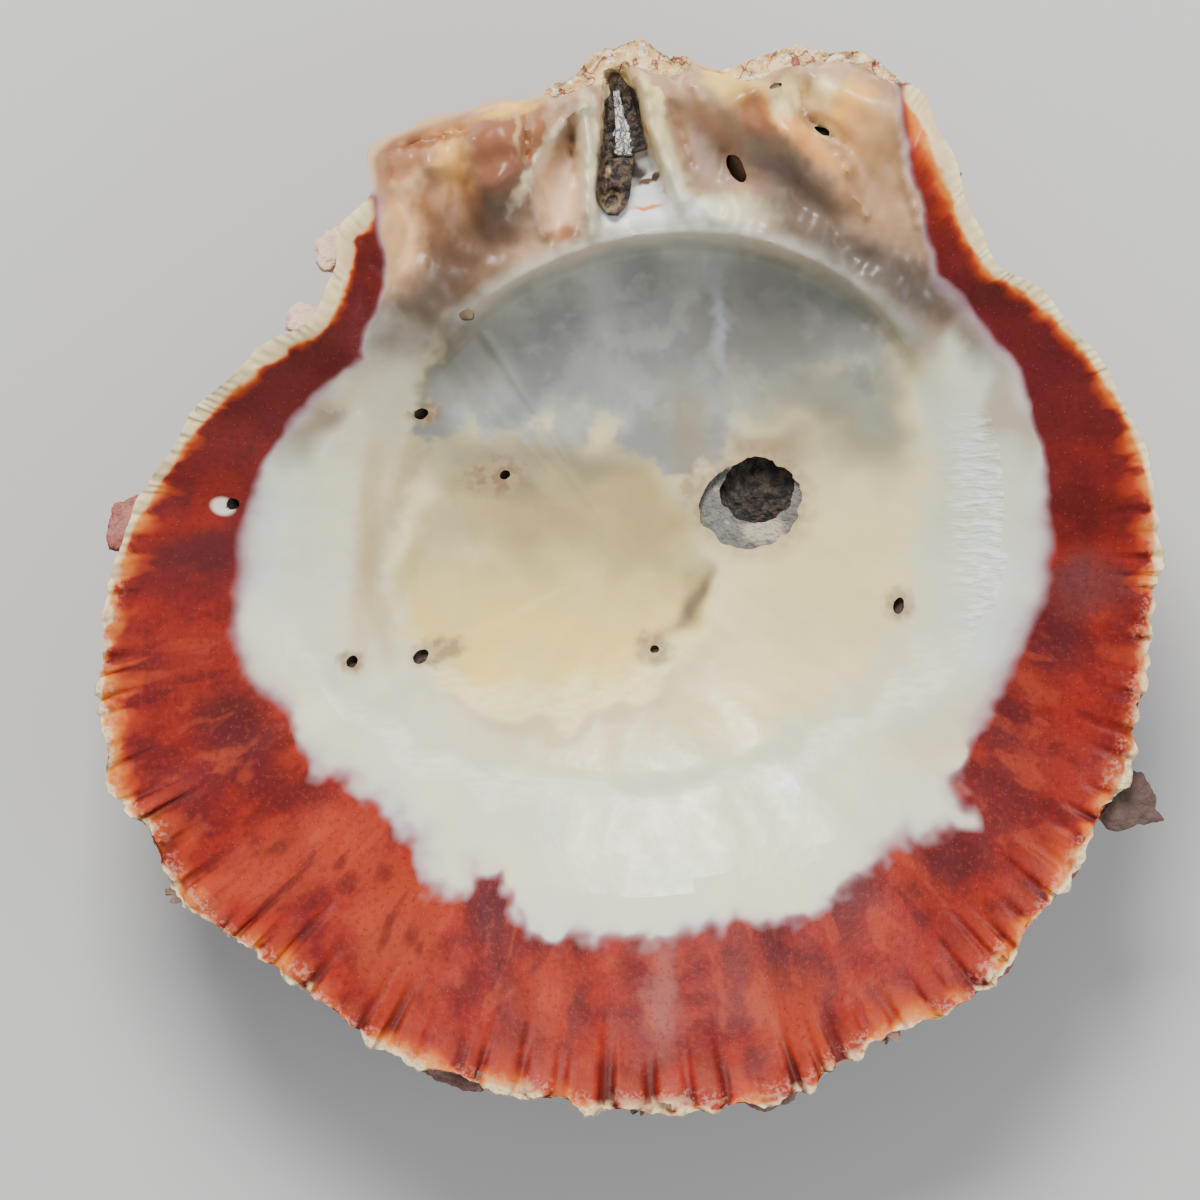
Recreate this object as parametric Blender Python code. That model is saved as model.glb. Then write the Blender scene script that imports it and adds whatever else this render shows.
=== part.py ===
"""Upper valve of a spiny oyster, with the dried ligament left in its hinge.

The valve lies on its back: the hollow inside faces up (+Z), the hinge is towards +Y, and the
shell rests on the worn tips of its lowest spines at Z = 0. The valve grew as one piece, so it
is one solid. A ball is pulled into the shell: its upper half becomes the inside, its lower
half the outside, and its equator the margin.
"""

import math

import bmesh
import bpy
import numpy as np
from mathutils import Matrix, Vector

MM = 0.001

# Driving sizes
MARGIN_HEIGHT = 38.2 * MM      # the margin's plane above the surface that the shell rests on
OUTER_DEPTH = 34.0 * MM        # the dome, below the margin's lower edge
INNER_DEPTH = 30.0 * MM        # the bowl, below the margin's plane
EDGE_THICKNESS = 2.2 * MM      # the margin's blunt edge
EDGE_RING = 0.7 * MM           # how far in from the margin its rounded corner ends
MARGIN_WAVE = 0.6 * MM         # rise and fall of the margin round the shell
HINGE_DIP = 4.0 * MM           # the margin behind the hinge lies this far below its plane
DOME_ROUNDNESS = 2.1           # 2 is a paraboloid, and more is flatter in the middle
BOWL_ROUNDNESS = 1.15          # 1 is a paraboloid, and more is steeper in the middle

# Lines run over the shell from the bowl's middle to the margin, and from there to the umbo
LINES = 144
RIBS = 36
INNER_RINGS = 12
HINGE_CROWDING = 0.5           # how near the lines stand at the beak, against evenly spaced
RIB_HEIGHT = 1.3 * MM          # from a rib's middle height to its crest, where it is widest
RIB_FULL_WIDTH_AT = 90.0 * MM  # from the umbo
FLUTE_HEIGHT = 0.45 * MM       # the ribs' ends, as they show on the inside of the margin
FLUTE_REACH = 9.0 * MM
SCALLOP = 0.6 * MM             # how far the ribs' ends stand out from the margin
BEND_OF_RIBS = 0.5             # how far a line turns to meet the margin squarely

# The margin, clockwise from the beak, in millimetres from the middle of the shell
OUTLINE_MM = (
    # beak and right ear
    (1.5, 75.6), (6.0, 73.8), (10.5, 72.4), (15.1, 72.2), (19.5, 74.2), (26.0, 74.8),
    (33.0, 73.6), (37.6, 71.2), (41.4, 67.7), (44.0, 62.5), (46.6, 55.8), (49.2, 48.5),
    # right side, from the ear's notch down
    (52.0, 44.1), (57.6, 40.3), (63.9, 33.2), (68.6, 26.2), (71.9, 19.0), (73.9, 10.7),
    (74.2, 2.3), (73.2, -8.5), (72.0, -17.5), (70.0, -26.5), (65.2, -36.8), (60.4, -44.0),
    # lower margin
    (54.8, -52.0), (47.6, -60.4), (38.6, -63.6), (30.8, -68.2), (23.0, -73.2), (12.5, -75.2),
    (0.0, -75.8), (-12.8, -73.6), (-23.2, -71.2), (-33.0, -67.4), (-41.6, -62.2),
    (-47.2, -57.2), (-55.4, -51.8), (-62.4, -46.4), (-66.8, -40.4), (-68.6, -35.0),
    # left side, up to the left ear's notch
    (-73.6, -30.0), (-74.4, -22.0), (-74.8, -10.0), (-73.4, -0.6), (-71.3, 6.5),
    (-67.7, 13.5), (-60.7, 24.1), (-52.3, 31.8), (-44.8, 37.0), (-42.2, 42.4),
    # left ear
    (-41.4, 48.4), (-38.4, 51.8), (-36.8, 55.0), (-37.0, 59.4), (-34.0, 62.4), (-26.9, 65.2),
    (-18.5, 67.3), (-11.2, 69.0), (-6.0, 73.0), (-2.4, 75.2),
)
BOWL_MIDDLE = np.array((0.0, 3.0)) * MM
DOME_MIDDLE = np.array((0.0, 10.0)) * MM
UMBO = np.array((1.5, 66.0)) * MM
UMBO_REACH = np.array((20.0, 11.0)) * MM
UMBO_DEPTH = 7.0 * MM

# The cavity under the hinge plate is a turned ellipse, and its wall is a step between two rings
CAVITY_MIDDLE = np.array((3.8, 8.8)) * MM
CAVITY_REACH = np.array((43.8, 39.0)) * MM
CAVITY_TURN = math.radians(29.0)
WALL_TOP, WALL_FOOT = 1.03, 0.92
WALL_TOP_RING = 8
CAVITY_STEP = 1.0 * MM

# The hinge plate, below the margin's plane: at its back and at the cavity's wall
PLATE_DEPTHS = (3.0 * MM, 7.0 * MM)
PLATE_FROM_Y, PLATE_TO_Y = 24.0 * MM, 44.0 * MM
PLATE_SLOPE_FROM_Y, PLATE_SLOPE_TO_Y = 46.0 * MM, 70.0 * MM

# Hinge: middle x, middle y, half length, half width, height (all mm), turn in degrees from +X
HINGE_FORMS = {
    "left tooth": (-18.2, 58.4, 8.6, 4.4, 5.4, 70),
    "wedge beside the left socket": (-11.6, 60.8, 6.0, 1.5, 1.6, 57),
    "left socket": (-9.8, 57.0, 7.4, 2.9, -4.2, 79),
    "left wall of the pit": (-7.3, 57.6, 8.0, 1.3, 2.0, 92),
    "right wall of the pit": (4.6, 60.4, 7.6, 1.5, 1.6, 108),
    "right socket": (9.6, 60.4, 7.8, 3.4, -4.0, 112),
    "right tooth": (17.2, 65.0, 9.4, 4.8, 5.6, -40),
    "right tooth's root": (28.0, 55.8, 7.0, 3.0, 2.4, -44),
    "right ear's hollow": (25.4, 66.2, 6.0, 2.4, -3.6, -50),
    "right ear's swelling": (34.2, 64.4, 6.0, 4.0, 1.5, 72),
    "left ear's fold": (-27.8, 55.4, 6.0, 2.6, 1.6, 100),
}

# Ligament, and the pit that holds it: a strip from the beak down to the plate's lip
PIT_TOP = np.array((-1.6, 70.8)) * MM
PIT_FOOT = np.array((-1.0, 50.2)) * MM
PIT_HALF_WIDTHS = (3.8 * MM, 6.2 * MM)     # at the top, at the foot
PIT_DEPTH = 4.0 * MM
LIGAMENT_TOP = np.array((-1.9, 68.6)) * MM
LIGAMENT_FOOT = np.array((-2.1, 52.2)) * MM
LIGAMENT_WIDTHS = (3.2 * MM, 5.2 * MM)
LIGAMENT_THICKNESS = 3.6 * MM
LIGAMENT_GAP = 0.5 * MM

# Holes bored by other animals: x, y, radius, depth (mm)
BORINGS_MM = (
    (18.9, 12.5, 5.3, 3.2), (-18.2, 14.8, 1.0, 2.2), (-30.1, 23.4, 1.0, 2.2),
    (-40.2, -12.3, 1.0, 2.2), (-30.4, -11.6, 1.3, 2.2), (38.8, -4.3, 1.0, 2.2),
    (-57.0, 10.3, 1.0, 1.6), (14.9, 58.0, 1.6, 3.0),
)
LARGE_BORING_MM = 2.0          # a hole of this radius or more is cut rounder

# Spines stand in rows on every second rib: places from the umbo (0) to the margin (1)
SPINE_ROWS = (0.34, 0.46, 0.57, 0.67, 0.76, 0.84)
SPINE_LENGTHS = (1.5 * MM, 7.5 * MM)       # at the umbo, at the margin, on the longest rib
SPINE_SLENDERNESS = 0.72                   # width against length
SPINE_LEAN = math.radians(46.0)            # from the surface's normal towards the margin
SPINE_ROOT = 1.6 * MM                      # sunk in the shell
LONGEST_RIB = 142.0 * MM
SHORTEST_SPINY_RIB = 0.3       # against the longest
BROKEN_SPINES = 0.15           # the share that is missing
SHARE_OF_ROOM_BELOW = 0.8      # a spine under the dome stops short of the resting surface
# Blades that stand out past the margin: x, y of the margin there, length, width, thickness (mm)
MARGIN_BLADES_MM = (
    (-42.0, 45.5, 4.4, 9.0, 4.0), (-47.0, 35.6, 4.0, 6.0, 3.5), (-71.2, 6.4, 4.4, 9.5, 4.5),
    (67.5, -32.4, 9.0, 7.5, 3.0), (-24.5, -70.0, 2.8, 9.0, 3.5), (20.0, -73.6, 2.6, 7.5, 3.0),
    (51.8, -55.4, 2.8, 6.5, 3.0), (61.5, -41.5, 3.0, 6.0, 3.0),
)
BLADE_DROOP = 0.35
# Worn spines that the shell rests on: x, y (mm)
FEET_MM = ((-13.0, -5.0), (18.0, -6.0), (20.0, 25.0), (-14.0, 25.0))
CENTRE_OF_MASS = np.array((2.2, 8.4)) * MM
FOOT_WIDTH = 6.0 * MM
FOOT_ROOT = 2.5 * MM
FOOT_SPREAD = 0.35             # sideways run against height
FOOT_WEAR = 1.2 * MM           # worn off below the resting surface


def smooth(low, high, x):
    """0 below low, 1 above high, and an even curve between them."""
    share = np.clip((x - low) / (high - low), 0.0, 1.0)
    return share * share * (3.0 - 2.0 * share)


def between(values, share):
    return values[0] + (values[1] - values[0]) * share


def piecewise(share, at, values):
    """Straight runs through the values, which may differ from line to line."""
    result = values[0] + 0.0 * share
    for start, end, low, high in zip(at, at[1:], values, values[1:]):
        result = result + (high - low) * np.clip((share - start) / (end - start), 0.0, 1.0)
    return result


def closed_curve(points, per_span=10):
    """Points along a closed Catmull-Rom curve through the given ones."""
    before, start, end, after = (np.roll(points, shift, axis=0) for shift in (1, 0, -1, -2))
    share = np.arange(per_span)[None, :, None] / per_span
    p0, p1, p2, p3 = (p[:, None, :] for p in (before, start, end, after))
    curve = 0.5 * (
        2.0 * p1
        + (p2 - p0) * share
        + (2.0 * p0 - 5.0 * p1 + 4.0 * p2 - p3) * share**2
        + (3.0 * p1 - p0 - 3.0 * p2 + p3) * share**3
    )
    return curve.reshape(-1, 2)


RIM = closed_curve(np.array(OUTLINE_MM) * MM)
RIM_STEPS = np.linalg.norm(np.roll(RIM, -1, axis=0) - RIM, axis=1)
RIM_SHARES = np.concatenate(([0.0], np.cumsum(RIM_STEPS))) / RIM_STEPS.sum()


def rim_at(share):
    """The point of the margin at this share of its length, clockwise from the beak."""
    closed = np.vstack((RIM, RIM[:1]))
    return np.stack([np.interp(share % 1.0, RIM_SHARES, closed[:, k]) for k in (0, 1)], axis=-1)


def rim_share(turn):
    """Share of the margin at this turn of the ball (-1 to 1, 0 at the beak)."""
    size = np.abs(turn)
    return 0.5 * np.sign(turn) * (HINGE_CROWDING * size + (1.0 - HINGE_CROWDING) * size**2)


def turn_at(x, y):
    """The turn of the line that meets the margin nearest to this place."""
    turns = np.linspace(-1.0, 1.0, 4001)
    far = np.linalg.norm(rim_at(rim_share(turns)) - np.array((x, y)), axis=1)
    return turns[np.argmin(far)]


def rim_beyond(place):
    """The point of the margin on the line from the bowl's middle through this place."""
    rim_ray = RIM - BOWL_MIDDLE
    along = (rim_ray @ (place - BOWL_MIDDLE)) / np.linalg.norm(rim_ray, axis=1)
    return RIM[np.argmax(along)]


def nearness(points, middle):
    """0 at the middle and 1 on the margin, measured along the ray through each point."""
    rim_ray, ray = RIM - middle, points - middle
    rim_angle = np.arctan2(rim_ray[:, 1], rim_ray[:, 0])
    order = np.argsort(rim_angle)
    reach = np.interp(
        np.arctan2(ray[..., 1], ray[..., 0]),
        rim_angle[order],
        np.linalg.norm(rim_ray, axis=1)[order],
        period=2.0 * math.pi,
    )
    return np.linalg.norm(ray, axis=-1) / reach


def ribbing(turn):
    """1 on a rib's crest, -1 in the furrow between two ribs."""
    return np.cos(math.pi * RIBS * turn)


def rim_height(rim):
    """The margin dips behind the hinge line and waves a little elsewhere."""
    behind_hinge = smooth(58.0 * MM, 68.0 * MM, rim[..., 1])
    wave = MARGIN_WAVE * np.sin(5.0 * np.arctan2(rim[..., 0], rim[..., 1]) + 0.8)
    return MARGIN_HEIGHT + wave * (1.0 - behind_hinge) - HINGE_DIP * behind_hinge


def reference_height(points, rim):
    """The margin's own height close to it, and the margin's plane further in."""
    margin = rim_height(rim)
    away = smooth(1.0 * MM, 7.0 * MM, np.linalg.norm(points - rim, axis=-1))
    return margin + (MARGIN_HEIGHT - margin) * away


def pit_depth(points):
    """How deep the ligament's pit goes below the hinge plate."""
    fall = (PIT_TOP[1] - points[..., 1]) / (PIT_TOP[1] - PIT_FOOT[1])
    fall = np.clip(fall, -0.2, 1.2)
    middle = between((PIT_TOP[0], PIT_FOOT[0]), fall)
    aside = np.abs(points[..., 0] - middle) / between(PIT_HALF_WIDTHS, fall)
    ends = smooth(-0.10, 0.02, fall) * (1.0 - smooth(0.98, 1.12, fall))
    return PIT_DEPTH * (1.0 - smooth(0.75, 1.1, aside)) * ends


def hinge_relief(points):
    """Height of the teeth, sockets and folds on the hinge plate, and the ligament's pit."""
    relief = -pit_depth(points)
    for middle_x, middle_y, length, width, height, turn in HINGE_FORMS.values():
        along = np.array((math.cos(math.radians(turn)), math.sin(math.radians(turn))))
        from_middle = points - np.array((middle_x, middle_y)) * MM
        far = from_middle @ along / (length * MM)
        aside = from_middle @ np.array((-along[1], along[0])) / (width * MM)
        relief = relief + height * MM * np.exp(-((far**2 + aside**2) ** 1.4))
    return relief


def in_cavity_axes(vectors):
    """Along the cavity's long and short axes, as shares of its reach."""
    along = np.array((math.cos(CAVITY_TURN), math.sin(CAVITY_TURN)))
    across = np.array((-along[1], along[0]))
    return np.stack((vectors @ along, vectors @ across), axis=-1) / CAVITY_REACH


def inner_height(points, rim):
    """Height of the inside above the resting surface."""
    y = points[..., 1]
    from_rim = np.linalg.norm(points - rim, axis=-1)
    near = 1.0 - from_rim / np.linalg.norm(rim - BOWL_MIDDLE, axis=-1)
    cavity = np.linalg.norm(in_cavity_axes(points - CAVITY_MIDDLE), axis=-1)
    in_cavity = 1.0 - smooth(WALL_FOOT + 0.01, WALL_TOP - 0.01, cavity)
    bowl = INNER_DEPTH * np.clip(1.0 - near**2, 0.0, 1.0) ** BOWL_ROUNDNESS
    bowl = bowl + CAVITY_STEP * in_cavity
    plate = between(PLATE_DEPTHS, 1.0 - smooth(PLATE_SLOPE_FROM_Y, PLATE_SLOPE_TO_Y, y))
    plate = plate * smooth(0.0, 10.0 * MM, from_rim)
    on_plate = (1.0 - in_cavity) * smooth(PLATE_FROM_Y, PLATE_TO_Y, y)
    depth = between((bowl, plate), on_plate)
    relief = hinge_relief(points) * on_plate * smooth(0.5 * MM, 4.0 * MM, from_rim)
    return reference_height(points, rim) - depth + relief


def outer_height(points, rim):
    """Height of the outside above the resting surface, without ribs."""
    near = np.clip(nearness(points, DOME_MIDDLE), 0.0, 1.0)
    dome = OUTER_DEPTH * (1.0 - near**DOME_ROUNDNESS)
    from_umbo = (points - UMBO) / UMBO_REACH
    umbo = UMBO_DEPTH * np.exp(-np.sum(from_umbo**2, axis=-1))
    edge = smooth(0.0, EDGE_RING, np.linalg.norm(points - rim, axis=-1))
    return reference_height(points, rim) - EDGE_THICKNESS * edge - dome - umbo * edge


def wall_crossing(rim, size):
    """How far along the line from the margin to the bowl's middle the cavity's ellipse lies."""
    start = in_cavity_axes(rim - CAVITY_MIDDLE)
    step = in_cavity_axes(BOWL_MIDDLE - rim)
    a = np.sum(step * step, axis=-1)
    b = np.sum(start * step, axis=-1)
    c = np.sum(start * start, axis=-1) - size**2
    return (-b - np.sqrt(b * b - a * c)) / a


def inside(turn, share):
    """Points of the inside, from the margin (share 0) to the bowl's middle (share 1)."""
    rim = rim_at(rim_share(turn))
    one = np.ones_like(share)
    travel = piecewise(
        share,
        (0.0, 1.0 / INNER_RINGS, WALL_TOP_RING / INNER_RINGS, (WALL_TOP_RING + 1) / INNER_RINGS, 1.0),
        (
            0.0 * one,
            EDGE_RING / np.linalg.norm(BOWL_MIDDLE - rim, axis=-1),
            wall_crossing(rim, WALL_TOP),
            wall_crossing(rim, WALL_FOOT),
            one,
        ),
    )
    points = rim + (BOWL_MIDDLE - rim) * travel[..., None]
    from_rim = np.linalg.norm(points - rim, axis=-1)
    away_from_hinge = 1.0 - smooth(40.0 * MM, 55.0 * MM, rim[..., 1])
    flutes = FLUTE_HEIGHT * np.exp(-from_rim / FLUTE_REACH) * away_from_hinge
    height = inner_height(points, rim) - ribbing(turn) * flutes
    return np.concatenate((points, height[..., None]), axis=-1)


def outside(turn, share):
    """Points of the outside, from the margin (share 0) to the umbo (share 1).

    Each line leaves the umbo towards the disc and bends to meet the margin squarely.
    """
    rim = rim_at(rim_share(turn))
    one = np.ones_like(share)
    from_umbo = np.linalg.norm(rim - UMBO, axis=-1)
    pull = BEND_OF_RIBS * np.clip(from_umbo / (80.0 * MM), 0.0, 1.0)
    bend = rim + (BOWL_MIDDLE - rim) * pull[..., None]
    travel = piecewise(
        share, (0.0, 1.0 / INNER_RINGS, 1.0), (0.0 * one, 1.2 * EDGE_RING / from_umbo, one)
    )
    b = (1.0 - travel)[..., None]
    points = (1.0 - b) ** 2 * UMBO + 2.0 * b * (1.0 - b) * bend + b**2 * rim
    widening = np.clip(np.linalg.norm(points - UMBO, axis=-1) / RIB_FULL_WIDTH_AT, 0.0, 1.0)
    widening = widening * (1.0 - smooth(60.0 * MM, 69.0 * MM, rim[..., 1]))
    height = outer_height(points, rim) - RIB_HEIGHT * ribbing(turn) * widening
    return np.concatenate((points, height[..., None]), axis=-1)


def valve_points(ball):
    """Where the points of a ball of radius 1 go on the valve."""
    turn = np.arctan2(ball[:, 0], ball[:, 1]) / math.pi
    climb = np.arcsin(np.clip(ball[:, 2], -1.0, 1.0)) / (0.5 * math.pi)
    share = np.abs(climb)
    placed = np.where((climb >= 0.0)[:, None], inside(turn, share), outside(turn, share))
    outward = placed[:, :2] - BOWL_MIDDLE
    outward /= np.maximum(np.linalg.norm(outward, axis=1), 1.0 * MM)[:, None]
    crest = SCALLOP * ribbing(turn) * np.exp(-INNER_RINGS * share)
    placed[:, :2] += outward * crest[:, None]
    placed[:, 2] -= np.where(share < 1e-6, 0.5 * EDGE_THICKNESS, 0.0)
    return placed


def add_collection(name):
    made = bpy.data.collections.new(name)
    bpy.context.scene.collection.children.link(made)
    return made


def add_material(name, colour, roughness):
    made = bpy.data.materials.new(name)
    made.use_nodes = True
    surface = made.node_tree.nodes["Principled BSDF"]
    surface.inputs["Base Color"].default_value = (*colour, 1.0)
    surface.inputs["Roughness"].default_value = roughness
    surface.inputs["Metallic"].default_value = 0.0
    return made


def add_object(name, shape, collection, material=None):
    mesh = bpy.data.meshes.new(name)
    shape.to_mesh(mesh)
    shape.free()
    made = bpy.data.objects.new(name, mesh)
    collection.objects.link(made)
    if material:
        mesh.materials.append(material)
    return made


def join_or_cut(target, operation, name, shape, helpers):
    """Gives the target a Boolean with the shape, which is kept as a helper."""
    helper = add_object(name, shape, helpers)
    helper.hide_render = True
    helper.display_type = "WIRE"
    change = target.modifiers.new(name, "BOOLEAN")
    change.operation = operation
    change.solver = "EXACT"
    change.use_self = True
    change.object = helper


def add_spine(spines, foot, direction, across, length, width, thickness, root=SPINE_ROOT):
    """A blunt, flattened spine on the mesh, with its root sunk in the shell."""
    direction = Vector(direction).normalized()
    across = Vector(across)
    across = (across - direction * across.dot(direction)).normalized()
    axes = Matrix((across, direction.cross(across), direction)).transposed().to_4x4()
    size = Matrix.Diagonal((0.5 * width, 0.5 * thickness, length + root, 1.0))
    place = Matrix.Translation(Vector(foot) + direction * 0.5 * (length - root))
    bmesh.ops.create_cone(
        spines, cap_ends=True, segments=6, radius1=1.0, radius2=0.55, depth=1.0,
        matrix=place @ axes @ size,
    )


def surface_frame(turn, share):
    """A point of the outside, the way out of the shell, towards the margin, and across."""
    step = 0.02
    here = outside(np.array((turn,)), np.array((share,)))[0]
    towards_margin = outside(np.array((turn,)), np.array((share - step,)))[0] - here
    sideways = outside(np.array((turn + step,)), np.array((share,)))[0] - here
    normal = np.cross(towards_margin, sideways)
    normal *= np.sign(normal @ (here - np.append(BOWL_MIDDLE, MARGIN_HEIGHT)))
    frame = [v / np.linalg.norm(v) for v in (normal, towards_margin, sideways)]
    return here, *frame


def add_rows_of_spines(spines):
    draw = np.random.default_rng(11)
    for rib in range(0, RIBS, 2):
        turn = 2.0 * rib / RIBS
        turn = turn - 2.0 if turn > 1.0 else turn
        rim = rim_at(rim_share(np.array((turn,))))[0]
        room = np.linalg.norm(rim - UMBO) / LONGEST_RIB
        for row in SPINE_ROWS:
            place = row + draw.uniform(-0.03, 0.03)
            length = between(SPINE_LENGTHS, row) * (0.4 + 0.6 * room) * draw.uniform(0.7, 1.2)
            lean = SPINE_LEAN * draw.uniform(0.85, 1.15)
            if room < SHORTEST_SPINY_RIB or draw.random() < BROKEN_SPINES:
                continue
            foot, normal, towards_margin, sideways = surface_frame(turn, 1.0 - place)
            length = min(length, SHARE_OF_ROOM_BELOW * foot[2])
            direction = normal * math.cos(lean) + towards_margin * math.sin(lean)
            width = SPINE_SLENDERNESS * length
            add_spine(spines, foot, direction, sideways, length, width, 0.6 * width)


def add_margin_blades(spines):
    for x, y, length, width, thickness in MARGIN_BLADES_MM:
        foot, normal, _, sideways = surface_frame(turn_at(x * MM, y * MM), 0.06)
        outward = np.append(np.array((x, y)) * MM - BOWL_MIDDLE, 0.0)
        direction = outward / np.linalg.norm(outward) + BLADE_DROOP * normal
        add_spine(
            spines, foot, direction, sideways, length * MM, width * MM, thickness * MM
        )


def add_feet(spines):
    """Stout spines under the dome, worn flat where the shell rests on them."""
    for x, y in FEET_MM:
        place = np.array((x, y)) * MM
        foot = np.append(place, outer_height(place, rim_beyond(place)))
        outward = np.append(place - CENTRE_OF_MASS, 0.0)
        outward *= FOOT_SPREAD / np.linalg.norm(outward)
        direction = outward + np.array((0.0, 0.0, -1.0))
        add_spine(
            spines, foot, direction, np.cross(direction, outward), foot[2] + FOOT_WEAR,
            FOOT_WIDTH, FOOT_WIDTH, FOOT_ROOT,
        )


def add_borings(borings):
    """Tapered cutters, one for each hole in the inside."""
    for x, y, radius, depth in BORINGS_MM:
        place = np.array((x, y)) * MM
        surface = float(inner_height(place, rim_beyond(place)))
        bmesh.ops.create_cone(
            borings, cap_ends=True, segments=16 if radius > LARGE_BORING_MM else 6,
            radius1=0.8 * radius * MM, radius2=1.15 * radius * MM, depth=2.0 * depth * MM,
            matrix=Matrix.Translation((*place, surface)),
        )


def make_valve(shell_pieces, helpers):
    shell = bmesh.new()
    bmesh.ops.create_uvsphere(
        shell, u_segments=LINES, v_segments=2 * INNER_RINGS, radius=1.0
    )
    ball = np.array([v.co for v in shell.verts])
    for vertex, place in zip(shell.verts, valve_points(ball)):
        vertex.co = place
    horn = add_material("Shell", (0.70, 0.62, 0.48), 0.35)
    valve = add_object("valve", shell, shell_pieces, horn)

    spines = bmesh.new()
    add_rows_of_spines(spines)
    add_margin_blades(spines)
    add_feet(spines)
    join_or_cut(valve, "UNION", "spines", spines, helpers)

    borings = bmesh.new()
    add_borings(borings)
    join_or_cut(valve, "DIFFERENCE", "borings", borings, helpers)

    under = bmesh.new()
    size = Matrix.Diagonal((200.0 * MM, 200.0 * MM, 20.0 * MM, 1.0))
    bmesh.ops.create_cube(under, size=1.0, matrix=Matrix.Translation((0.0, 0.0, -10.0 * MM)) @ size)
    join_or_cut(valve, "DIFFERENCE", "resting_surface", under, helpers)


def make_ligament(shell_pieces):
    """A dried, cracked strip, thickest at its foot, that lies in the pit."""
    strip = bmesh.new()
    bmesh.ops.create_cube(strip, size=1.0)
    lengthwise = [e for e in strip.edges if abs(e.verts[0].co.y - e.verts[1].co.y) > 0.5]
    bmesh.ops.subdivide_edges(strip, edges=lengthwise, cuts=6)
    crosswise = [e for e in strip.edges if abs(e.verts[0].co.x - e.verts[1].co.x) > 0.5]
    bmesh.ops.subdivide_edges(strip, edges=crosswise, cuts=3)
    for vertex in strip.verts:
        along, aside, top = 0.5 - vertex.co.y, 2.0 * vertex.co.x, vertex.co.z > 0.0
        middle = between((LIGAMENT_TOP, LIGAMENT_FOOT), along)
        width = between(LIGAMENT_WIDTHS, along)
        width *= 0.86 + 0.14 * math.sin(math.pi * (0.15 + 0.7 * along))
        floor = inner_height(middle, RIM[0]) + LIGAMENT_GAP
        height = LIGAMENT_THICKNESS * (0.75 + 0.25 * along) * (1.0 - 0.22 * aside**2)
        vertex.co = (middle[0] + 0.5 * width * aside, middle[1], floor + (height if top else 0.0))
    add_object("ligament", strip, shell_pieces, add_material("Ligament", (0.07, 0.04, 0.03), 0.6))


def main():
    for obj in list(bpy.data.objects):
        bpy.data.objects.remove(obj)
    shell_pieces = add_collection("spiny_oyster_shell")
    helpers = add_collection("helpers")
    make_valve(shell_pieces, helpers)
    make_ligament(shell_pieces)


main()
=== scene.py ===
"""Upper valve of a spiny oyster on its back: a glossy bowl with a dark red margin, a toothed hinge
with the dried ligament still in its pit, and a worn, spiny, purplish red outside."""

import math

import bmesh
import bpy
import numpy as np
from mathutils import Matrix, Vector, kdtree, noise


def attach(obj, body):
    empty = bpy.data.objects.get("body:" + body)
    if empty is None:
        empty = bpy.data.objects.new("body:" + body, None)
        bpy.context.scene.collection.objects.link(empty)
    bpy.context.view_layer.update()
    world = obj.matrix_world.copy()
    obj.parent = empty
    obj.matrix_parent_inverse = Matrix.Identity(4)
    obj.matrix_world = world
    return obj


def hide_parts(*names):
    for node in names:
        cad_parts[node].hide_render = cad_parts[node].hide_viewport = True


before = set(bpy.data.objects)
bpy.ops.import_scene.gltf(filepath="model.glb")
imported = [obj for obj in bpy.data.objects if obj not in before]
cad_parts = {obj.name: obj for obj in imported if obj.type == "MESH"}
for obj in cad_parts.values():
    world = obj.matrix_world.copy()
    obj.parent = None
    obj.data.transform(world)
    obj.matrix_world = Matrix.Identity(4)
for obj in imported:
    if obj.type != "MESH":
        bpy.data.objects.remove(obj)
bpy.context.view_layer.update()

# ---- Valve: the shell itself ------------------------------------------------------------------
# One half of a bivalve, grown from the umbo outwards in layers of lime. A fine ball is pulled into
# shape: its upper half is the inside, its lower half the outside and its equator the margin.
# Lengths in this section are in millimetres until the mesh is written.

MM = 0.001
MARGIN_HEIGHT, OUTER_DEPTH, INNER_DEPTH = 38.2, 34.0, 30.0
EDGE_THICKNESS, EDGE_RING = 2.2, 0.7
RIBS, RIB_HEIGHT = 36, 1.3
LINES, RINGS = 400, 48            # of the ball, before it is refined
HINGE_CROWDING = 0.5
# The margin, clockwise from the beak
OUTLINE = np.array((
    (1.5, 75.6), (6.0, 73.8), (10.5, 72.4), (15.1, 72.2), (19.5, 74.2), (26.0, 74.8),
    (33.0, 73.6), (37.6, 71.2), (41.4, 67.7), (44.0, 62.5), (46.6, 55.8), (49.2, 48.5),
    (52.0, 44.1), (57.6, 40.3), (63.9, 33.2), (68.6, 26.2), (71.9, 19.0), (73.9, 10.7),
    (74.2, 2.3), (73.2, -8.5), (72.0, -17.5), (70.0, -26.5), (65.2, -36.8), (60.4, -44.0),
    (54.8, -52.0), (47.6, -60.4), (38.6, -63.6), (30.8, -68.2), (23.0, -73.2), (12.5, -75.2),
    (0.0, -75.8), (-12.8, -73.6), (-23.2, -71.2), (-33.0, -67.4), (-41.6, -62.2),
    (-47.2, -57.2), (-55.4, -51.8), (-62.4, -46.4), (-66.8, -40.4), (-68.6, -35.0),
    (-73.6, -30.0), (-74.4, -22.0), (-74.8, -10.0), (-73.4, -0.6), (-71.3, 6.5),
    (-67.7, 13.5), (-60.7, 24.1), (-52.3, 31.8), (-44.8, 37.0), (-42.2, 42.4),
    (-41.4, 48.4), (-38.4, 51.8), (-36.8, 55.0), (-37.0, 59.4), (-34.0, 62.4), (-26.9, 65.2),
    (-18.5, 67.3), (-11.2, 69.0), (-6.0, 73.0), (-2.4, 75.2),
))
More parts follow.
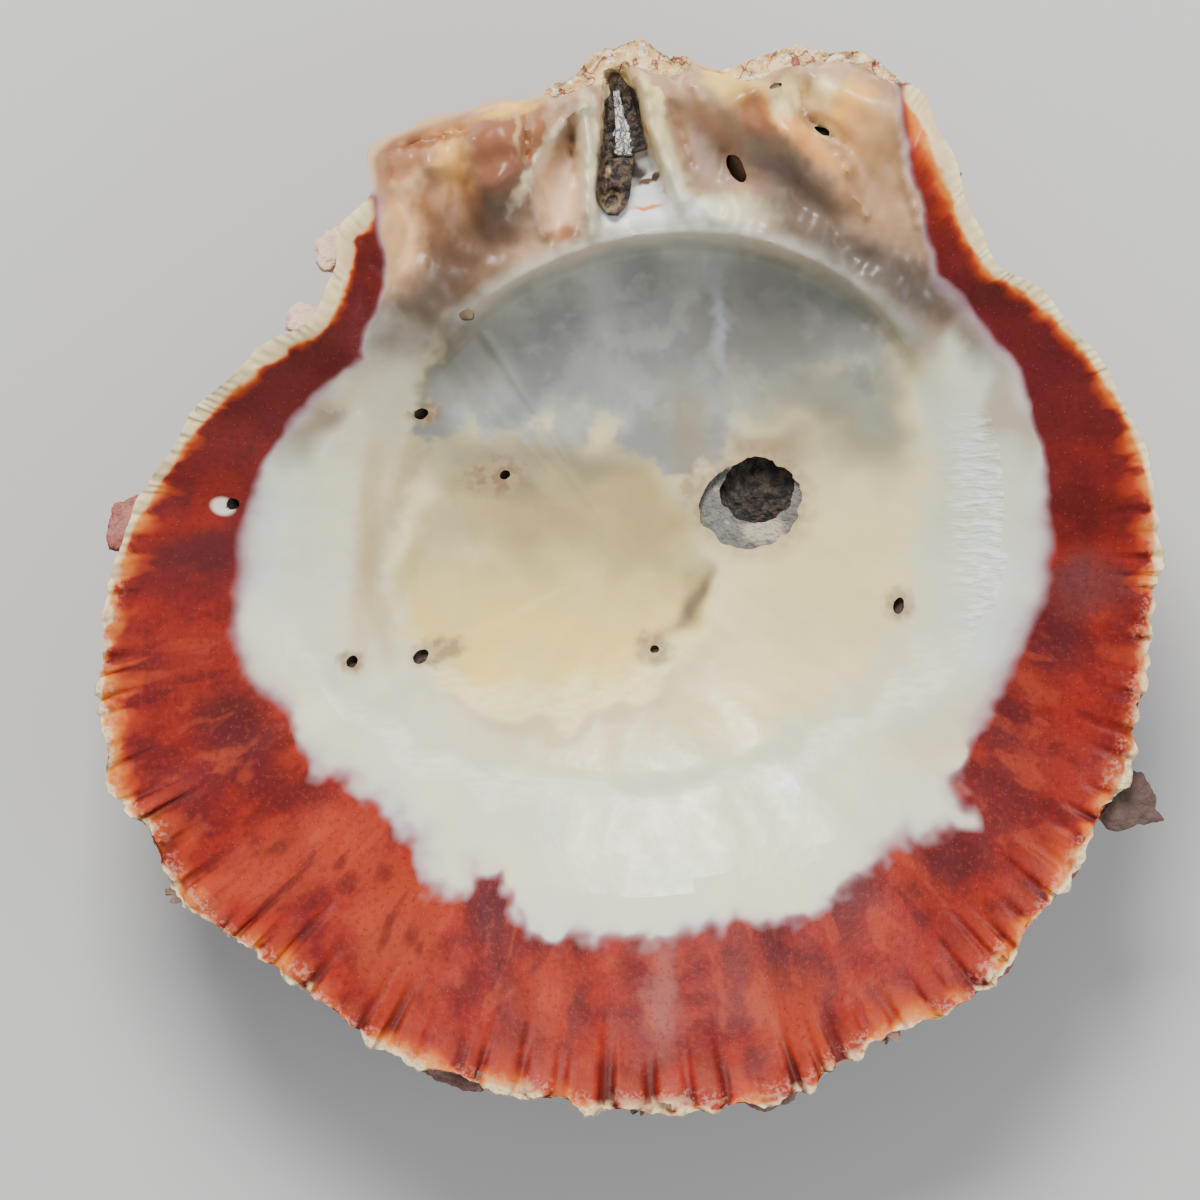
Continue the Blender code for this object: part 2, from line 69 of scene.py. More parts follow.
BOWL_MIDDLE, DOME_MIDDLE, UMBO = np.array((0.0, 3.0)), np.array((0.0, 10.0)), np.array((1.5, 66.0))
CAVITY_MIDDLE, CAVITY_REACH = np.array((3.8, 8.8)), np.array((43.8, 39.0))
CAVITY_TURN = math.radians(29.0)
WALL_TOP, WALL_FOOT = 1.03, 0.92
CAVITY_LIP = (0.945, 1.0)         # where the hinge plate takes over from the cavity
PLATE_FADE = (24.0, 44.0)
RING_SHARES = (0.0, 1.0 / 12.0, 8.0 / 12.0, 9.0 / 12.0, 1.0)   # margin, edge, wall's top and foot, middle


def smooth(low, high, x):
    """0 below low, 1 above high, and an even curve between them."""
    share = np.clip((x - low) / (high - low), 0.0, 1.0)
    return share * share * (3.0 - 2.0 * share)


def between(values, share):
    """The first value at share 0 and the second at share 1."""
    return values[0] + (values[1] - values[0]) * share


def piecewise(share, at, values):
    """Straight lines between the values, which may be arrays."""
    result = values[0] + 0.0 * share
    for start, end, low, high in zip(at, at[1:], values, values[1:]):
        result = result + (high - low) * np.clip((share - start) / (end - start), 0.0, 1.0)
    return result


def closed_curve(points, per_span=10):
    """Points along a closed Catmull-Rom curve through the given ones."""
    before, start, end, after = (np.roll(points, shift, axis=0) for shift in (1, 0, -1, -2))
    share = np.arange(per_span)[None, :, None] / per_span
    p0, p1, p2, p3 = (p[:, None, :] for p in (before, start, end, after))
    curve = 0.5 * (
        2.0 * p1
        + (p2 - p0) * share
        + (2.0 * p0 - 5.0 * p1 + 4.0 * p2 - p3) * share**2
        + (3.0 * p1 - p0 - 3.0 * p2 + p3) * share**3
    )
    return curve.reshape(-1, 2)


RIM = closed_curve(OUTLINE)
RIM_STEPS = np.linalg.norm(np.roll(RIM, -1, axis=0) - RIM, axis=1)
RIM_SHARES = np.concatenate(([0.0], np.cumsum(RIM_STEPS))) / RIM_STEPS.sum()


def rim_at(share):
    closed = np.vstack((RIM, RIM[:1]))
    return np.stack([np.interp(share % 1.0, RIM_SHARES, closed[:, k]) for k in (0, 1)], axis=-1)


def rim_share(turn):
    """How far round the margin a turn is. Turns crowd at the hinge, and go from -1 to 1."""
    size = np.abs(turn)
    return 0.5 * np.sign(turn) * (HINGE_CROWDING * size + (1.0 - HINGE_CROWDING) * size**2)


def turn_at(x, y):
    turns = np.linspace(-1.0, 1.0, 4001)
    return turns[np.argmin(np.linalg.norm(rim_at(rim_share(turns)) - np.array((x, y)), axis=1))]


def rim_beyond(place):
    """The point of the margin that lies beyond this place, seen from the bowl's middle."""
    rim_ray = RIM - BOWL_MIDDLE
    along = (rim_ray @ (place - BOWL_MIDDLE)) / np.linalg.norm(rim_ray, axis=1)
    return RIM[np.argmax(along)]


def nearness(points, middle):
    """0 at the middle and 1 on the margin, measured along the ray through each point."""
    rim_ray, ray = RIM - middle, points - middle
    rim_angle = np.arctan2(rim_ray[:, 1], rim_ray[:, 0])
    order = np.argsort(rim_angle)
    reach = np.interp(
        np.arctan2(ray[..., 1], ray[..., 0]),
        rim_angle[order],
        np.linalg.norm(rim_ray, axis=1)[order],
        period=2.0 * math.pi,
    )
    return np.linalg.norm(ray, axis=-1) / reach


def ribbing(turn):
    """1 on a rib's back and -1 between two ribs."""
    return np.cos(math.pi * RIBS * turn)


def rim_height(rim):
    """The margin dips behind the hinge line and waves a little elsewhere."""
    behind_hinge = smooth(58.0, 68.0, rim[..., 1])
    wave = 0.6 * np.sin(5.0 * np.arctan2(rim[..., 0], rim[..., 1]) + 0.8)
    return MARGIN_HEIGHT + wave * (1.0 - behind_hinge) - 4.0 * behind_hinge


def reference_height(points, rim):
    """The height from which depths are measured: the margin's, evened out inwards."""
    margin = rim_height(rim)
    away = smooth(1.0, 7.0, np.linalg.norm(points - rim, axis=-1))
    return margin + (MARGIN_HEIGHT - margin) * away


# Teeth, sockets and folds: middle x, middle y, half length, half width, height, turn from +X
HINGE_FORMS = {
    "left tooth": (-19.0, 60.0, 7.4, 5.0, 5.2, 76),
    "left tooth's foot": (-17.6, 53.0, 5.4, 4.6, 3.0, 60),
    "left tooth's lobe": (-13.2, 61.4, 5.6, 1.3, 2.2, 82),
    "left socket": (-9.9, 56.6, 8.4, 2.9, -4.4, 82),
    "left wall of the pit": (-6.2, 57.6, 9.4, 1.5, 2.2, 95),
    "right wall of the pit": (4.9, 60.0, 9.4, 1.7, 2.2, 110),
    "right socket": (10.4, 60.4, 7.4, 3.4, -4.4, 115),
    "right tooth": (17.2, 65.6, 8.4, 4.6, 6.0, -46),
    "right tooth's root": (26.4, 58.4, 7.4, 3.4, 3.6, -42),
    "right ear's hollow": (24.2, 67.2, 4.0, 2.4, -3.4, -60),
    "right ear's cleft": (27.8, 63.0, 3.4, 1.4, -2.6, -38),
    "right ear's swelling": (34.2, 64.4, 6.0, 4.0, 1.5, 72),
    "left ear's fold": (-27.8, 55.4, 6.0, 2.6, 1.6, 100),
}
PIT_TOP, PIT_FOOT, PIT_DEPTHS = np.array((-2.1, 71.4)), np.array((0.9, 49.0)), (3.6, 1.2)
PIT_HALF_WIDTHS = (1.9, 6.6)
# Creases and crests on the hinge: height, half width, and the points that each runs through
HINGE_CREASES = (
    (1.1, 0.6, ((-22.2, 63.6), (-23.2, 60.4), (-23.7, 56.6))),
    (-1.5, 0.5, ((-14.8, 66.6), (-14.9, 63.0), (-14.6, 59.4))),
    (1.7, 0.9, ((-7.0, 66.3), (-10.4, 62.6), (-12.9, 59.0), (-14.2, 54.4), (-12.4, 48.8))),
    (-1.6, 0.6, ((-8.3, 64.4), (-8.2, 60.6), (-7.7, 56.0))),
    (0.9, 0.5, ((-6.4, 66.0), (-6.2, 58.6), (-6.3, 51.4))),
    (1.2, 0.8, ((1.6, 68.4), (4.2, 60.4), (7.0, 53.0))),
    (1.3, 0.8, ((0.8, 70.6), (3.0, 68.4), (4.9, 66.0))),
    (-1.2, 0.6, ((5.6, 66.8), (7.4, 62.6), (8.6, 58.0))),
    (1.0, 0.6, ((8.2, 69.6), (10.4, 66.2), (13.2, 62.6))),
    (-1.6, 1.3, ((13.4, 60.6), (14.2, 58.4), (15.9, 56.2))),
    (1.3, 0.8, ((19.6, 69.4), (23.8, 64.4), (28.6, 60.4), (31.0, 57.2))),
    (-2.0, 0.8, ((25.8, 64.4), (28.6, 62.4))),
    (0.9, 0.5, ((22.0, 68.4), (22.9, 64.8))),
    (-1.0, 0.5, ((24.2, 68.8), (24.6, 65.8))),
    (0.8, 0.6, ((30.6, 57.0), (31.6, 53.6), (33.4, 51.2))),
    (-1.5, 0.9, ((-33.4, 61.0), (-28.0, 61.8), (-22.6, 63.4))),
    (0.8, 1.4, ((-31.9, 54.9), (-29.6, 56.8), (-27.8, 58.2))),
    (0.5, 1.3, ((-12.6, 48.8), (-9.6, 47.6), (-6.0, 48.6))),
    (0.6, 1.5, ((9.0, 53.6), (13.0, 50.8), (20.0, 48.0))),
    (-0.7, 1.6, ((22.6, 55.0), (28.0, 50.0), (33.0, 45.0))),
    (0.8, 0.6, ((36.4, 70.4), (37.4, 66.0), (38.4, 58.0), (40.6, 50.0))),
    (-0.9, 0.5, ((-33.8, 60.4), (-33.9, 56.0))),
)


def from_line(points, line):
    """Distance from each point to a line that runs through the given points."""
    nearest = np.full(points.shape[:-1], 1e9)
    for start, end in zip(np.array(line[:-1]), np.array(line[1:])):
        step = end - start
        share = np.clip(((points - start) @ step) / (step @ step), 0.0, 1.0)
        foot = start + share[..., None] * step
        nearest = np.minimum(nearest, np.linalg.norm(points - foot, axis=-1))
    return nearest


def waviness(points, wavelength, seed, waves=10):
    """An uneven surface, about -1 to 1, whose swells are about this far apart."""
    draw = np.random.default_rng(seed)
    total = 0.0
    for _ in range(waves):
        heading, start = draw.uniform(0.0, 2.0 * math.pi, 2)
        pace = 2.0 * math.pi / (wavelength * draw.uniform(0.7, 1.5))
        along = points[..., 0] * math.cos(heading) + points[..., 1] * math.sin(heading)
        total = total + np.cos(along * pace + start)
    return total / math.sqrt(0.5 * waves) * 0.6


def pit_depth(points):
    """The ligament's pit: narrow and deep under the beak, wide and shallow at the plate's lip."""
    fall = (PIT_TOP[1] - points[..., 1]) / (PIT_TOP[1] - PIT_FOOT[1])
    down = np.clip(fall, 0.0, 1.0)
    middle = between((PIT_TOP[0], PIT_FOOT[0]), down)
    aside = np.abs(points[..., 0] - middle) / between(PIT_HALF_WIDTHS, down)
    ends = smooth(-0.06, 0.06, fall) * (1.0 - smooth(0.80, 1.10, fall))
    return between(PIT_DEPTHS, down) * (1.0 - smooth(0.60, 1.0, aside)) * ends


def hinge_relief(points):
    """How far the teeth, sockets, folds, creases and the pit rise or sink."""
    relief = -pit_depth(points)
    for middle_x, middle_y, length, width, height, turn in HINGE_FORMS.values():
        along = np.array((math.cos(math.radians(turn)), math.sin(math.radians(turn))))
        from_middle = points - np.array((middle_x, middle_y))
        far = from_middle @ along / length
        aside = from_middle @ np.array((-along[1], along[0])) / width
        relief = relief + height * np.exp(-((far**2 + aside**2) ** 2.2))
    for height, width, line in HINGE_CREASES:
        uneven = 1.0 + 0.35 * waviness(points, 2.4, 8)
        relief = relief + height * uneven * np.exp(-((from_line(points, line) / width) ** 2))
    swells = 0.35 * waviness(points, 7.0, 3) + 0.14 * waviness(points, 2.6, 4)
    return relief + swells * (1.0 - 0.8 * smooth(0.3, 1.0, pit_depth(points)))


def in_cavity_axes(vectors):
    """Along and across the cavity's ellipse, in shares of its reach."""
    along = np.array((math.cos(CAVITY_TURN), math.sin(CAVITY_TURN)))
    across = np.array((-along[1], along[0]))
    return np.stack((vectors @ along, vectors @ across), axis=-1) / CAVITY_REACH


def cavity_size(points):
    """1 on the ellipse that bounds the cavity, less inside it."""
    return np.linalg.norm(in_cavity_axes(points - CAVITY_MIDDLE), axis=-1)


def on_hinge_plate(points):
    """1 on the hinge plate and its ears, 0 in the cavity and lower down."""
    in_cavity = 1.0 - smooth(*CAVITY_LIP, cavity_size(points))
    return (1.0 - in_cavity) * smooth(*PLATE_FADE, points[..., 1])


CRUST_PLACES = (-40.0, -14.0, -9.0, -3.0, 3.0, 7.0, 8.5, 13.0, 16.0, 21.0, 26.0, 38.0)
CRUST_WIDTHS = (0.0, 0.0, 2.4, 4.4, 4.4, 2.2, 0.8, 0.8, 2.8, 4.4, 2.0, 1.3)


def crust(points, from_rim):
    """1 on the chalky edge behind the hinge, where the outer layer shows."""
    wide = np.interp(points[..., 0], CRUST_PLACES, CRUST_WIDTHS)
    wide = wide * (1.0 + 0.25 * waviness(points, 7.0, 12)) + 0.01
    above = points[..., 1] - 7.5 * smooth(26.0, 36.0, points[..., 0])
    share = (1.0 - smooth(0.7, 1.05, from_rim / wide)) * smooth(61.0, 63.0, above)
    return share * smooth(0.3, 1.2, wide)


def inner_height(points, rim):
    from_rim = np.linalg.norm(points - rim, axis=-1)
    near = 1.0 - from_rim / np.linalg.norm(rim - BOWL_MIDDLE, axis=-1)
    bowl = INNER_DEPTH * np.clip(1.0 - near**2, 0.0, 1.0) ** 1.15
    bowl = bowl + 1.0 - smooth(WALL_FOOT, WALL_TOP, cavity_size(points))
    plate = between((3.0, 7.0), 1.0 - smooth(46.0, 70.0, points[..., 1]))
    plate = plate * smooth(0.0, 10.0, from_rim)
    on_plate = on_hinge_plate(points)
    depth = between((bowl, plate), on_plate)
    relief = hinge_relief(points) * on_plate * smooth(0.5, 4.0, from_rim)
    chalk = 0.5 * waviness(points, 3.2, 15) + 0.35 * waviness(points, 1.4, 16)
    relief = relief + (0.3 + chalk) * crust(points, from_rim)
    return reference_height(points, rim) - depth + relief


def outer_height(points, rim):
    near = np.clip(nearness(points, DOME_MIDDLE), 0.0, 1.0)
    dome = OUTER_DEPTH * (1.0 - near**2.1)
    from_umbo = (points - UMBO) / np.array((20.0, 11.0))
    umbo = 7.0 * np.exp(-np.sum(from_umbo**2, axis=-1))
    edge = smooth(0.0, EDGE_RING, np.linalg.norm(points - rim, axis=-1))
    return reference_height(points, rim) - EDGE_THICKNESS * edge - dome - umbo * edge


def wall_crossing(rim, size):
    """How far from the margin to the bowl's middle this ellipse of the cavity's wall is met."""
    start = in_cavity_axes(rim - CAVITY_MIDDLE)
    step = in_cavity_axes(BOWL_MIDDLE - rim)
    a = np.sum(step * step, axis=-1)
    b = np.sum(start * step, axis=-1)
    c = np.sum(start * start, axis=-1) - size**2
    return (-b - np.sqrt(b * b - a * c)) / a


# The margin's inside is fluted: the riblets end in rounded fingers, parted by narrow gaps, behind
# a thin, ragged edge. No two fingers are equally wide, long or high, and some are missing. The gaps
# differ in depth and length too.
FLUTES = 150
draw = np.random.default_rng(5)
FLUTE_WIDTHS = draw.uniform(0.5, 1.6, FLUTES)
FLUTE_ENDS = np.concatenate(([0.0], np.cumsum(FLUTE_WIDTHS))) * FLUTES / FLUTE_WIDTHS.sum()
FINGER_REACH = draw.uniform(0.3, 1.5, FLUTES)
FINGER_MISSING = draw.random(FLUTES) < 0.28
FINGER_LIFT = np.where(FINGER_MISSING, 0.0, draw.uniform(0.3, 1.3, FLUTES))
FINGER_WIDTH = draw.uniform(0.62, 0.80, FLUTES)
FINGER_TIP = np.where(FINGER_MISSING, 0.0, draw.uniform(0.2, 1.7, FLUTES))
CLOSED = np.arange(FLUTES + 1) % FLUTES
GAP_DEPTHS = draw.choice((0.15, 0.6, 1.1), FLUTES, p=(0.25, 0.4, 0.35))[CLOSED]
GAP_REACH = draw.uniform(0.4, 1.3, FLUTES)[CLOSED]
# Clockwise round the margin (0 at the beak, 1 at the bottom, 2 back at the beak): the fingers'
# height and length, how far their tips stay behind the edge, how softly the gaps round off, the
# widths of the cream edge and of the orange glow inside it, and how ragged the edge is
ROUND = (
    0.0, 0.24, 0.27, 0.36, 0.50, 0.58, 0.68, 0.85, 1.00,
    1.15, 1.28, 1.38, 1.48, 1.56, 1.66, 1.75, 1.79, 2.0,
)
FINGER_HEIGHTS = (0.0, 0.0, 0.15, 0.20, 0.35, 0.6, 0.9, 1.0, 1.1, 1.1, 1.0, 0.7, 0.5, 0.4, 0.3, 0.2, 0.0, 0.0)
FINGER_LENGTHS = (
    2.0, 2.0, 2.2, 2.2, 4.2, 5.5, 8.0, 10.0, 11.0,
    12.0, 10.0, 7.0, 4.5, 3.0, 2.4, 2.4, 2.0, 2.0,
)
TIP_SHARES = (0.0, 0.0, 0.0, 0.0, 0.1, 0.4, 0.7, 1.0, 1.0, 0.9, 0.7, 0.4, 0.1, 0.0, 0.0, 0.0, 0.0, 0.0)
GAP_ROUNDING = (1.0, 1.0, 1.0, 1.0, 0.7, 0.5, 0.35, 0.3, 0.3, 0.3, 0.35, 0.6, 0.9, 1.0, 1.0, 1.0, 1.0, 1.0)
CREAM_WIDTHS = (1.0, 1.0, 2.2, 2.2, 1.1, 0.7, 0.4, 0.35, 0.3, 0.35, 0.5, 0.9, 1.5, 2.2, 2.4, 2.6, 1.0, 1.0)
GLOW_WIDTHS = (0.5, 0.5, 4.2, 1.2, 1.3, 1.8, 2.0, 2.0, 1.5, 2.0, 3.0, 2.6, 1.0, 0.8, 0.6, 3.4, 0.5, 0.5)
RAGGED = (0.15, 0.15, 0.1, 0.1, 0.25, 0.6, 0.9, 1.0, 1.1, 1.0, 0.8, 0.4, 0.25, 0.2, 0.1, 0.1, 0.2, 0.15)


def round_margin(clockwise, values):
    """What a table of values round the margin says at these places."""
    return np.interp(clockwise, ROUND, values)


def flute_at(turn):
    """Which flute this is, counted clockwise from the beak, and how far across it: 0 to 1."""
    clockwise = np.where(turn < 0.0, turn + 2.0, turn)
    across = clockwise * 0.5 * FLUTES
    flute = np.clip(np.searchsorted(FLUTE_ENDS, across, side="right") - 1, 0, FLUTES - 1)
    width = FLUTE_ENDS[flute + 1] - FLUTE_ENDS[flute]
    return flute, np.clip((across - FLUTE_ENDS[flute]) / width, 0.0, 1.0), clockwise


def finger(flute, across, clockwise, from_rim):
    """1 on a finger's back and 0 beside it, fading inwards, and the same for the gaps' depth."""
    tip = FINGER_TIP[flute] * round_margin(clockwise, TIP_SHARES)
    length = round_margin(clockwise, FINGER_LENGTHS)
    inward = np.clip((from_rim - tip) / (length * FINGER_REACH[flute]), 0.0, 1.0)
    beyond = np.clip((tip - from_rim) / 0.9, 0.0, 1.0)
    half = FINGER_WIDTH[flute] * np.sqrt(1.0 - beyond**2)
    rounding = round_margin(clockwise, GAP_ROUNDING)
    back = smooth(0.0, 1.0, (half - np.abs(2.0 * across - 1.0)) / rounding + 0.5)
    further = smooth(0.3, 0.7, across)
    gap = between((GAP_DEPTHS[flute], GAP_DEPTHS[flute + 1]), further) * (1.0 - back)
    gap_length = length * between((GAP_REACH[flute], GAP_REACH[flute + 1]), further)
    return back * (1.0 - inward) ** 1.3, gap * np.clip(1.0 - from_rim / gap_length, 0.0, 1.0) ** 1.2


def inside(turn, share):
    """Points of the inside, from the margin (share 0) to the bowl's middle (share 1)."""
    rim = rim_at(rim_share(turn))
    one = np.ones_like(share)
    travel = piecewise(
        share,
        RING_SHARES,
        (
            0.0 * one,
            EDGE_RING / np.linalg.norm(BOWL_MIDDLE - rim, axis=-1),
            wall_crossing(rim, WALL_TOP),
            wall_crossing(rim, WALL_FOOT),
            one,
        ),
    )
    points = rim + (BOWL_MIDDLE - rim) * travel[..., None]
    from_rim = np.linalg.norm(points - rim, axis=-1)
    flute, across, clockwise = flute_at(turn)
    height = round_margin(clockwise, FINGER_HEIGHTS)
    back, gap = finger(flute, across, clockwise, from_rim)
    rounded = 1.0 - 0.6 * (2.0 * across - 1.0) ** 2
    fluting = height * (0.85 * FINGER_LIFT[flute] * back * rounded - gap * smooth(0.2, 0.8, height))
    ribs = 0.3 * ribbing(turn) * np.exp(-from_rim / 9.0) * (1.0 - smooth(40.0, 55.0, rim[..., 1]))
    swells = 0.22 * waviness(points, 17.0, 6) + 0.05 * waviness(points, 5.0, 7)
    swells = swells * smooth(3.0, 12.0, from_rim) * (1.0 - on_hinge_plate(points))
    z = inner_height(points, rim) + fluting - ribs + swells
    return np.concatenate((points, z[..., None]), axis=-1)


def rib_widening(grown, rim):
    """Ribs and riblets grow away from the umbo, and are missing behind the hinge."""
    return np.clip(grown / 90.0, 0.0, 1.0) * (1.0 - smooth(60.0, 69.0, rim[..., 1]))


def outside(turn, share):
    """Points of the outside, from the margin (share 0) to the umbo (share 1)."""
    rim = rim_at(rim_share(turn))
    one = np.ones_like(share)
    from_umbo = np.linalg.norm(rim - UMBO, axis=-1)
    pull = 0.5 * np.clip(from_umbo / 80.0, 0.0, 1.0)
    bend = rim + (BOWL_MIDDLE - rim) * pull[..., None]
    edge_way = 1.2 * EDGE_RING / from_umbo
    travel = piecewise(share, (0.0, RING_SHARES[1], 1.0), (0.0 * one, edge_way, one))
    b = (1.0 - travel)[..., None]
    points = (1.0 - b) ** 2 * UMBO + 2.0 * b * (1.0 - b) * bend + b**2 * rim
    grown = np.linalg.norm(points - UMBO, axis=-1)
    height = outer_height(points, rim) - RIB_HEIGHT * ribbing(turn) * rib_widening(grown, rim)
    return np.concatenate((points, height[..., None]), axis=-1)


def outside_relief(turn, points):
    """Riblets, growth steps, swells and worn places: how far they stand out of the dome."""
    rim = rim_at(rim_share(turn))
    grown = np.linalg.norm(points - UMBO, axis=-1)
    across = flute_at(turn)[1]
    riblets = 0.7 * (np.sqrt(1.0 - 0.97 * (2.0 * across - 1.0) ** 2) - 0.7) * rib_widening(grown, rim)
    stage = (grown + 1.6 * waviness(points, 22.0, 31)) / 7.5
    steps = 0.5 * (stage - np.floor(stage)) ** 2 * smooth(8.0, 30.0, grown)
    worn = smooth(0.15, 0.7, waviness(points, 26.0, 32) + 0.5 * (1.0 - smooth(20.0, 60.0, grown)))
    swells = 0.5 * waviness(points, 14.0, 33) + 0.22 * waviness(points, 4.0, 34)
    return (riblets + steps) * (1.0 - 0.7 * worn) + swells * smooth(4.0, 14.0, grown) - 0.3 * worn


def ball_turn(ball):
    """The turn of each line. The ball's lines are spread almost evenly along the margin."""
    around = np.arctan2(ball[:, 0], ball[:, 1]) / math.pi
    size = np.abs(around)
    share = 0.75 * size + 0.25 * size**2
    return np.sign(around) * (np.sqrt(0.25 + 2.0 * share) - 0.5)


def ball_share(ball):
    """How far a point is up (above 0) or down the ball, and its share of the way to the pole."""
    climb = np.arcsin(np.clip(ball[:, 2], -1.0, 1.0)) / (0.5 * math.pi)
    upper = piecewise(climb, (0.0, 3.0 / RINGS, 25.0 / RINGS, 31.0 / RINGS, 1.0), RING_SHARES)
    lower = piecewise(-climb, (0.0, 2.0 / RINGS, 1.0), (0.0, RING_SHARES[1], 1.0))
    return climb, np.where(climb >= 0.0, upper, lower)


def valve_points(ball):
    turn, (climb, share) = ball_turn(ball), ball_share(ball)
    upper = inside(turn, share)
    lower = outside(turn, share)
    edge_in = smooth(0.0, 0.12, share)
    lower[:, 2] -= outside_relief(turn, lower[:, :2]) * edge_in * smooth(0.0, 0.1, 1.0 - share)
    placed = np.where((climb >= 0.0)[:, None], upper, lower)
    outward = placed[:, :2] - BOWL_MIDDLE
    outward /= np.maximum(np.linalg.norm(outward, axis=1), 1.0)[:, None]
    flute, across, clockwise = flute_at(turn)
    tips = 0.35 * round_margin(clockwise, FINGER_HEIGHTS) * FINGER_LIFT[flute]
    tips = tips * (1.0 - np.cos(2.0 * math.pi * across)) * round_margin(clockwise, RAGGED)
    ragged = 0.55 * waviness(placed, 8.0, 41) + 0.40 * waviness(placed, 3.4, 42)
    ragged = (ragged + 0.18 * waviness(placed, 1.3, 43)) * round_margin(clockwise, RAGGED)
    ragged = ragged + 0.25 * waviness(placed, 2.2, 44) * crust(placed[:, :2], 0.0)
    crest = (0.45 * ribbing(turn) + tips + ragged) * np.exp(-12.0 * share)
    placed[:, :2] += outward * crest[:, None]
    placed[:, 2] -= np.where(share < 1e-6, 0.5 * EDGE_THICKNESS, 0.0)
    return placed


def on_ball(mesh):
    ball = np.array([v.co for v in mesh.verts])
    return ball / np.linalg.norm(ball, axis=1)[:, None]


def refine(mesh, wanted):
    """Halves the edges of the ball that wanted chooses by the places of both their ends."""
    mesh.verts.ensure_lookup_table()
    mesh.verts.index_update()
    ball = on_ball(mesh)
    ends = np.array([(e.verts[0].index, e.verts[1].index) for e in mesh.edges])
    chosen = np.nonzero(wanted(ball[ends[:, 0]], ball[ends[:, 1]]))[0]
    mesh.edges.ensure_lookup_table()
    bmesh.ops.subdivide_edges(mesh, edges=[mesh.edges[i] for i in chosen], cuts=1, use_grid_fill=True)


def in_fine_zone(ball):
    turn, (climb, _) = ball_turn(ball), ball_share(ball)
    deep = np.where(np.abs(turn) < 0.40, 31.5 / RINGS, 14.5 / RINGS)
    return (climb > -1e-6) & (climb < deep)


def near_hinge_or_band(start, end):
    return in_fine_zone(start) & in_fine_zone(end)


def fluted_edge(start, end):
    """Edges along the margin, in the outer rings of the inside."""
    climb = np.stack([ball_share(ball)[0] for ball in (start, end)])
    turn = np.abs(np.stack([ball_turn(ball) for ball in (start, end)]))
    along = np.abs(climb[0] - climb[1]) < 1e-4
    outer = (climb.max(axis=0) < 8.2 / RINGS) & (climb.min(axis=0) > -1e-6)
    return along & outer & (turn.min(axis=0) > 0.30)


shell = bmesh.new()
bmesh.ops.create_uvsphere(shell, u_segments=LINES, v_segments=2 * RINGS, radius=1.0)
refine(shell, near_hinge_or_band)
refine(shell, fluted_edge)
ball = on_ball(shell)
places = valve_points(ball)
grown_turn, grown_climb = ball_turn(ball), ball_share(ball)[0]
for vertex, place in zip(shell.verts, places):
    vertex.co = place * MM


def as_object(name, made, material=None):
    """Turns a bmesh into an object of the scene, smoothly shaded."""
    mesh = bpy.data.meshes.new(name)
    made.to_mesh(mesh)
    made.free()
    mesh.polygons.foreach_set("use_smooth", [True] * len(mesh.polygons))
    result = bpy.data.objects.new(name, mesh)
    bpy.context.scene.collection.objects.link(result)
    if material:
        mesh.materials.append(material)
    return result


def lively(place, size, seed):
    """Uneven values about 0, whose lumps are about this large."""
    return noise.fractal(Vector(place) / size + Vector((seed, 0.0, 0.0)), 0.6, 2.0, 4)


# Spines stand in rows on every second rib: flattened, bent towards the margin, blunt and furrowed.
# The lowest four are worn flat, and the valve rests on them. At the margin, worn lumps of the
# outer layer and one thin flake stand out past the edge.
SPINE_ROWS = (0.34, 0.46, 0.57, 0.67, 0.76, 0.84)
SPINE_LENGTHS = (1.5, 7.5)
SPINE_LEAN = math.radians(46.0)
SPINE_BLUNT = 0.55                # the tip's size against the foot's
LUMP_ROOT = 1.4                   # how deep a lump reaches under the margin
MARGIN_LUMPS = (          # place, length, width, thickness, how far below the margin, taper
    (-41.6, 46.2, 3.0, 8.0, 3.0, 2.6, 0.35), (-46.6, 36.4, 3.0, 5.0, 2.6, 2.8, 0.35),
    (-70.8, 6.6, 3.0, 10.0, 3.2, 3.2, 0.35), (68.4, -31.0, 8.2, 10.5, 1.5, 2.0, 0.95),
    (-25.0, -70.4, 1.4, 12.0, 2.6, 2.8, 0.35), (20.0, -74.0, 1.4, 8.0, 2.6, 2.8, 0.35),
    (51.8, -55.4, 1.4, 6.0, 2.6, 2.8, 0.35), (62.4, -41.0, 1.6, 6.0, 2.6, 2.8, 0.35),
)
FEET = ((-13.0, -5.0), (18.0, -6.0), (20.0, 25.0), (-14.0, 25.0))
CENTRE_OF_MASS = np.array((2.2, 8.4))
spines = bmesh.new()


def square_axes(direction, across):
    """The direction, what of across is square to it, and the third axis."""
    direction, across = Vector(direction).normalized(), Vector(across)
    across = (across - direction * across.dot(direction)).normalized()
    return direction, across, direction.cross(across)


